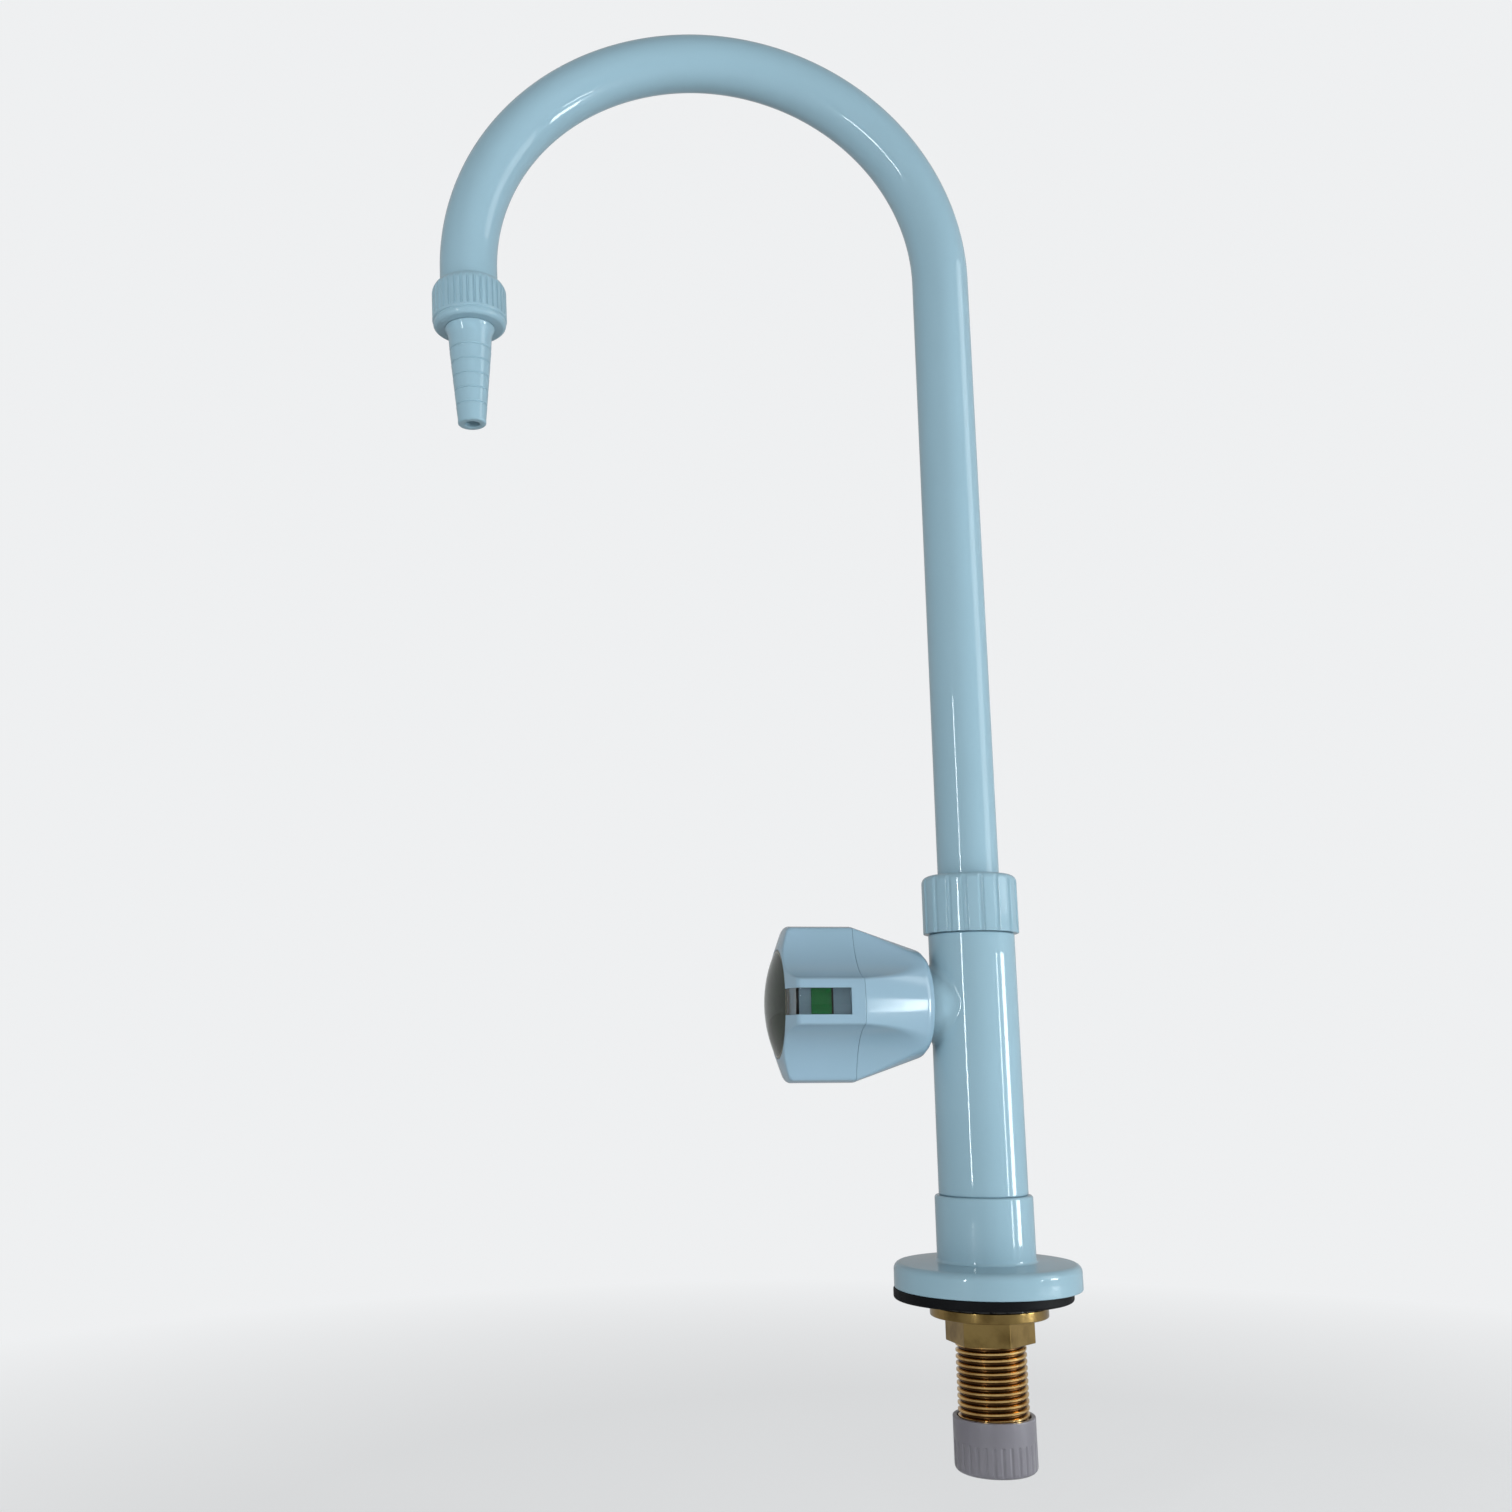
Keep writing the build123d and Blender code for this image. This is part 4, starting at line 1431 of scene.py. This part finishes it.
@dataclass
class Handle:
    """The two mouldings of the handle, with the clear cover, its printed disc and its strip.

    Stations count from the column's axis along the handle. The edge is given as rows from the shoulder:
    how far inwards and how far forwards each lies. The skirt's cone is given as shares of its length.
    """

    radius: float = 23.8
    turns: int = 480
    seam: float = 39.8
    rear: float = 16.3
    rear_radius: float = 14.2
    heel: float = 18.3
    heel_radius: float = 16.4
    heel_edge: float = 0.35
    shoulder: float = 59.2
    face: float = 62.7
    face_radius: float = 16.9
    face_slope: float = 2.3 / 6.2
    cavity: float = 14.6
    cavity_end: float = 57.0
    mouth: float = 12.4
    spigot_length: float = 3.0
    spigot_wall: float = 1.3
    spigot_root: float = 3.9
    recess_radius: float = 16.6
    recess_floor: float = 61.0
    hub_bore: float = 5.95
    hub_radius: float = 8.0
    hub_base: float = 44.0
    hub_floor: float = 58.0
    head_radius: float = 3.8
    head_seat: float = 59.0
    screw_radius: float = 2.1
    scoop_centre: float = 36.2
    scoop_radius: float = 19.0
    crease: float = 1.0
    seam_round: float = 0.28
    seam_steps: tuple[float, ...] = (0.0, 0.03, 0.08, 0.15, 0.22, 0.3, 0.6)
    side_start: float = 1.0
    side_step: float = 0.6
    side_rows: int = 31
    edge: tuple[Pair, ...] = ((0.0, -0.2), (0.03, 0.1), (0.12, 0.4), (0.28, 0.7), (0.52, 1.0), (0.85, 1.22))
    cone_start: float = 22.6
    cone_step: float = 0.25
    cone_rows: int = 23
    skirt_start: float = 0.035
    skirt_span: float = 0.945
    skirt_rows: int = 61
    skirt_steps: tuple[float, ...] = (0.3, 0.22, 0.15, 0.08, 0.05)
    fit: float = 0.05
    window_half: float = 3.9
    window_clearance: float = 0.1
    slot_root: float = 1.5
    tab_root: float = 1.0
    tab_floor: float = 0.4
    past: float = 1.0
    window_floor: float = 22.0
    window_rear: float = 44.0
    lens_radius: float = 16.55
    lens_rim: float = 62.66
    lens_apex: float = 66.3
    dome_steps: int = 14

    def build(self) -> None:
        """Builds and dresses the whole handle."""
        dress(self.shell(), "handle", "handle_plastic", HANDLE_PLASTIC, "handle_shell")
        dress(self.skirt(), "handle", "handle_plastic", HANDLE_PLASTIC, "handle_skirt")
        dress(self.cover(), "handle", "clear_plastic", CLEAR, "index_lens")
        dress_nodes(DISC_PRINT, "index_disc")
        dress_nodes(LABEL_PRINT, "index_label")
        dress_nodes(STEEL, "handle_screw", "spindle_clip")
        dress_nodes(NYLON, "spline_insert")
        dress_nodes(INNER_BRASS, "spindle")
        dress_nodes(SEAL_RUBBER, "spindle_seals")
        dress_nodes(CERAMIC, "moving_disc")

    def press(self, moulding: Bench) -> Bench:
        """Presses the four scoops into a turned moulding and rounds it at the seam.

        A soft minimum of the turned skin and the scoop gives the creases their small radius.

        Args:
            moulding: The turned moulding.

        Returns:
            The moulding.
        """
        moulding.hold()
        mesh = moulding.object.data
        places = np.empty(len(mesh.vertices) * 3)
        mesh.vertices.foreach_get("co", places)
        places = places.reshape(-1, 3) / MM
        reach = np.hypot(places[:, 0], places[:, 1])
        angle = np.arctan2(places[:, 1], places[:, 0])
        away = angle % (pi / 2) - pi / 4
        beside = np.maximum(self.scoop_radius**2 - (self.scoop_centre * np.sin(away)) ** 2, 0)
        floor = np.where(beside > 0, self.scoop_centre * np.cos(away) - np.sqrt(beside), 2 * self.radius)
        near = np.maximum(self.crease - np.abs(reach - floor), 0) / self.crease
        skin = np.minimum(reach, floor) - near**2 * self.crease / 4
        gap = np.clip(self.seam_round - np.abs(places[:, 2] - self.seam), 0, self.seam_round)
        skin -= self.seam_round - np.sqrt(self.seam_round**2 - gap**2)
        outside = reach > (self.cavity + self.heel_radius) / 2
        factor = np.where(outside, skin / np.maximum(reach, WELD), 1)
        places[:, :2] *= factor[:, None]
        mesh.vertices.foreach_set("co", (places * MM).ravel())
        mesh.update()
        return moulding

    def shell(self) -> bpy.types.Object:
        """Turns the front moulding, presses its scoops and cuts the window's slot.

        Close rows of corners give the press fine faces where the skin is bent.

        Returns:
            The finished piece.
        """
        seam_rows = [Corner(self.radius, self.seam + step) for step in self.seam_steps]
        first = self.seam + self.side_start
        side_rows = [Corner(self.radius, first + self.side_step * row) for row in range(self.side_rows)]
        edge_rows = [
            Corner(self.radius - inwards, self.shoulder + forwards) for inwards, forwards in self.edge
        ]
        cone_rows = [
            Corner(radius, self.face - self.face_slope * (radius - self.face_radius))
            for radius in (self.cone_start - self.cone_step * row for row in range(self.cone_rows))
        ]
        inside = [
            Corner(self.face_radius - 0.15, self.face + 0.02),
            Corner(self.recess_radius, self.face - 0.08),
            Corner(self.recess_radius, self.recess_floor),
            Corner(self.head_radius, self.recess_floor),
            Corner(self.head_radius, self.head_seat),
            Corner(self.screw_radius, self.head_seat),
            Corner(self.screw_radius, self.hub_floor),
            Corner(self.hub_bore, self.hub_floor),
            Corner(self.hub_bore, self.hub_base),
            Corner(self.hub_radius, self.hub_base),
            Corner(self.hub_radius, self.cavity_end),
            Corner(self.cavity, self.cavity_end),
            Corner(self.cavity, self.seam),
        ]
        outline = [*seam_rows, *side_rows, *edge_rows, *cone_rows, *inside]
        moulding = self.press(Bench("handle_front").draw(outline).spin(self.turns))
        return moulding.combine(self.slot_tool(), Cut.AWAY).place(ON_HANDLE)

    def prism(self, name: str, side: Sequence[Pair], half: float) -> Bench:
        """Draws a side view and extrudes it across the handle.

        Args:
            name: Name of the object.
            side: Points as distance from the axis and station, in millimetres.
            half: Half of its width, in millimetres.

        Returns:
            The prism on the bench.
        """
        block = Bench(name).draw([Corner(radius, station) for radius, station in side])
        bpy.ops.mesh.select_all(action="SELECT")
        bpy.ops.mesh.edge_face_add()
        bpy.ops.transform.translate(value=(0, -half * MM, 0))
        return block.extrude(Vector((0, 2 * half, 0))).weld()

    def slot_tool(self) -> Bench:
        """Makes the block that cuts the window's slot.

        Returns:
            The block on the bench.
        """
        root = self.face_radius - self.slot_root
        side = (
            (self.window_floor, self.window_rear),
            (self.window_floor, self.shoulder),
            (root, self.recess_floor),
            (root, self.face + self.past),
            (self.radius + self.past, self.face + self.past),
            (self.radius + self.past, self.window_rear),
        )
        return self.prism("window_slot", side, self.window_half)

    def skirt(self) -> bpy.types.Object:
        """Turns the rear moulding and presses its scoops.

        Returns:
            The finished piece.
        """
        rows = self.skirt_rows
        width, length = self.radius - self.heel_radius, self.seam - self.heel
        shares = [self.skirt_start + self.skirt_span * row / rows for row in range(rows)]
        cone = [Corner(self.heel_radius + width * share, self.heel + length * share) for share in shares]
        slope = width / length
        seam_rows = [Corner(self.radius - slope * step, self.seam - step) for step in self.skirt_steps]
        fitted = self.cavity - self.fit
        outline = [
            Corner(self.mouth, self.rear),
            Corner(self.rear_radius, self.rear, 0.6),
            Corner(self.heel_radius - self.heel_edge, self.heel - self.heel_edge),
            Corner(self.heel_radius - 0.1, self.heel),
            Corner(self.heel_radius + 0.1, self.heel + 0.4),
            *cone,
            *seam_rows,
            Corner(fitted, self.seam - self.fit),
            Corner(fitted, self.seam + self.spigot_length),
            Corner(fitted - self.spigot_wall, self.seam + self.spigot_length),
            Corner(fitted - self.spigot_wall, self.seam - self.spigot_root),
        ]
        return self.press(Bench("handle_rear").draw(outline).spin(self.turns)).place(ON_HANDLE)

    def dome(self) -> Bench:
        """Turns the clear dome over the printed disc.

        Returns:
            The dome on the bench.
        """
        rise = self.lens_apex - self.lens_rim
        curve = (self.lens_radius**2 + rise**2) / (2 * rise)
        reaches = (self.lens_radius * step / self.dome_steps for step in range(self.dome_steps))
        outline = [
            *(Corner(reach, self.lens_apex - curve + sqrt(curve**2 - reach**2)) for reach in reaches),
            Corner(self.lens_radius, self.lens_rim, 0.25),
            Corner(self.lens_radius, LENS_REAR),
            Corner(0.0, LENS_REAR),
        ]
        return Bench("clear_cover").draw(outline, close=False).spin()

    def cover(self) -> bpy.types.Object:
        """Joins the clear dome to the clear tab that fills the window, trimmed to the handle's skin.

        Returns:
            The finished piece.
        """
        lens = self.dome()
        low, root = self.window_floor + self.tab_floor, self.lens_radius - self.tab_root
        rear, outside = self.window_rear + self.window_clearance, self.radius + self.past
        side = (
            (low, rear),
            (low, self.shoulder + 0.3),
            (self.lens_radius + 0.05, LENS_REAR),
            (root, LENS_REAR),
            (root, self.face),
            (self.face_radius, self.face),
            (outside, self.face),
            (outside, rear),
        )
        tab = self.prism("window_tab", side, self.window_half - self.window_clearance)
        skin = Bench("tab_skin").draw(
            (
                Corner(0.0, self.window_rear),
                Corner(self.radius, self.window_rear),
                Corner(self.radius, self.shoulder, 0.2),
                Corner(self.radius - 0.7, self.shoulder + 1.2, 1.0),
                Corner(self.face_radius, self.face),
                Corner(0.0, self.face),
            ),
            close=False,
        )
        tab.combine(skin.spin(steps=192), Cut.COMMON)
        return lens.combine(tab, Cut.TOGETHER).place(ON_HANDLE)


# Studio


@dataclass(frozen=True)
class Lamp:
    """A soft lamp that faces the column.

    Its turn is how far it stands to the right of the camera, seen from the column, and its tip how far it
    faces up, both in degrees. Its distance, the height of its middle, and its width and height are in
    millimetres, its power in watts. Gloss and clear plastic show it where it is mirrored.
    """

    name: str
    turn: float
    distance: float
    height: float
    size: Pair
    power: float
    tip: float = 0.0
    mirrored: bool = True

    def hang(self, round_turn: float, colour: Colour) -> None:
        """Hangs the lamp.

        Args:
            round_turn: The camera's own turn round the column, in degrees.
            colour: Colour of the light.
        """
        light = bpy.data.lights.new(self.name, "AREA")
        light.shape = "RECTANGLE"
        light.size, light.size_y = (length * MM for length in self.size)
        light.energy = self.power
        light.color = colour
        lamp = bpy.data.objects.new(self.name, light)
        bpy.context.collection.objects.link(lamp)
        angle = radians(self.turn - round_turn - 90)
        away = Vector((cos(angle), sin(angle), 0))
        lamp.location = (away * self.distance + Vector((0, 0, self.height))) * MM
        back = away * cos(radians(self.tip)) - Vector((0, 0, sin(radians(self.tip))))
        lamp.rotation_euler = back.to_track_quat("Z", "Y").to_euler()
        lamp.visible_glossy = lamp.visible_transmission = self.mirrored
        LOG.info("%s lamp hung", self.name)


@dataclass
class Studio:
    """The floor, the lamps, the world and the camera.

    The floor's fade and the two spans of the camera's direction tell where one look goes over to another.
    """

    focal: float = 1464.4
    image: int = 1512
    sensor: float = 36.0
    shift: Pair = (0.035, -0.0284)
    distance: float = 476.5
    height: float = 69.15
    round_turn: float = 16.39
    tilt: float = 13.445
    pan: float = 10.24
    roll: float = -0.336
    floor_height: float = -75.3
    floor_radius: float = 4000.0
    floor_colour: Colour = (0.80, 0.81, 0.82)
    floor_glow: float = 0.72
    dust_size: float = 40.0
    floor_fade: Pair = (250.0, 600.0)
    floor_behind: Pair = (-100.0, 100.0)
    backdrop: Colour = (0.86, 0.87, 0.88)
    sky: Colour = (0.74, 0.76, 0.79)
    ceiling: Colour = (0.07, 0.06, 0.05)
    sky_band: Pair = (-0.05, 0.45)
    room: Colour = (0.26, 0.27, 0.27)
    room_behind: Pair = (-0.1, 0.3)
    mirrored_share: float = 0.38
    lamp_colour: Colour = (0.90, 0.97, 1.0)
    lamps: tuple[Lamp, ...] = (
        Lamp("window", 85.7, 700, 45, (140, 210), 2.1),
        Lamp("window_bar", 66.7, 700, 45, (38, 210), 0.55),
        Lamp("upper_window", 88, 1100, 620, (500, 800), 3.8),
        Lamp("strip", -27, 1060, 197, (50, 487), 2.5),
        Lamp("front", 0, 620, 330, (500, 300), 1.5, mirrored=False),
        Lamp("table", 0, 330, -72, (800, 500), 0.5, tip=90, mirrored=False),
    )

    def build(self) -> None:
        """Builds the studio round the tap."""
        bpy.context.scene.view_settings.view_transform = "Standard"
        self.floor()
        self.world()
        for lamp in self.lamps:
            lamp.hang(self.round_turn, self.lamp_colour)
        self.camera()

    def floor(self) -> None:
        """Lays a round pale floor that fades into the backdrop."""
        clear_selection()
        radius = self.floor_radius * MM
        bpy.ops.mesh.primitive_circle_add(vertices=128, radius=radius, fill_type="NGON")
        floor = bpy.context.object
        floor.name = "pale_floor"
        floor.location.z = self.floor_height * MM
        bpy.ops.object.transform_apply(location=True)
        graph = Graph(bpy.data.materials.new("pale_floor"))
        x, y, _ = graph.axes()
        far = ((x * x + y * y) ** 0.5).between(*(distance * MM for distance in self.floor_fade))
        camera, mirrored = graph.rays()
        ahead_x, ahead_y = self.ahead()
        behind = (x * ahead_x + y * ahead_y).between(*(distance * MM for distance in self.floor_behind))
        shown = graph.maths("MAXIMUM", camera, mirrored * behind * self.mirrored_share)
        share = shown * (far * (1 - self.floor_glow) + self.floor_glow)
        dusty = 0.7 + graph.noise(self.dust_size, detail=4.0) * 0.1
        matt = graph.shader(
            {"Base Color": (*self.floor_colour, 1.0), "Roughness": dusty, "Specular IOR Level": 0.1}
        )
        glow = graph.glow(self.backdrop, "ShaderNodeEmission")
        floor.data.materials.append(graph.output(graph.mix(share, matt, glow)))
        LOG.info("floor laid")

    def world(self) -> None:
        """Sets the soft light all round, and the pale backdrop that the camera and reflections see."""
        world = bpy.data.worlds.new("studio")
        bpy.context.scene.world = world
        graph = Graph(world, "Generated")
        x, y, z = graph.axes()
        camera, mirrored = graph.rays()
        ahead_x, ahead_y = self.ahead()
        behind = (x * ahead_x + y * ahead_y).between(*self.room_behind)
        soft = graph.mix(z.between(*self.sky_band), graph.glow(self.sky), graph.glow(self.ceiling))
        room = graph.mix(mirrored, soft, graph.glow(self.room))
        shown = graph.maths("MAXIMUM", camera, mirrored * behind * self.mirrored_share)
        graph.output(graph.mix(shown, room, graph.glow(self.backdrop)), "ShaderNodeOutputWorld")
        LOG.info("world set")

    def ahead(self) -> tuple[float, float]:
        """The level direction in which the camera looks, in the row's frame."""
        angle = radians(90 - self.round_turn)
        return cos(angle), sin(angle)

    def camera(self) -> None:
        """Sets the camera at the photograph's place and angle."""
        turn, tilt, pan, roll = (radians(a) for a in (self.round_turn, self.tilt, self.pan, self.roll))
        forward = Vector((-sin(pan) * cos(tilt), cos(pan) * cos(tilt), sin(tilt)))
        right = Vector((cos(pan), sin(pan), 0))
        up = right.cross(forward)
        right, up = cos(roll) * right + sin(roll) * up, cos(roll) * up - sin(roll) * right
        to_row = Matrix.Rotation(-turn, 3, "Z")
        axes = Matrix((to_row @ right, to_row @ up, to_row @ -forward)).transposed()
        spot = to_row @ Vector((0, -self.distance, self.height))
        lens = bpy.data.cameras.new("camera")
        lens.sensor_width = self.sensor
        lens.lens = self.focal / self.image * self.sensor
        lens.shift_x, lens.shift_y = self.shift
        lens.clip_start, lens.clip_end = 0.01, 20
        camera = bpy.data.objects.new("camera", lens)
        bpy.context.collection.objects.link(camera)
        camera.matrix_world = Matrix.Translation(spot * MM) @ axes.to_4x4()
        bpy.context.scene.camera = camera
        LOG.info("camera at %s", tuple(round(c) for c in spot))


def main() -> None:
    """Builds the tap's sub-assemblies and the studio."""
    logging.basicConfig(level=logging.INFO, format="%(name)s: %(message)s", stream=sys.stdout)
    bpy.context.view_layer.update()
    for assembly in (Column(), Clamp(), ThreadCap(), Spout(), Handle(), Studio()):
        assembly.build()
    clear_selection()


if __name__ == "__main__":
    main()
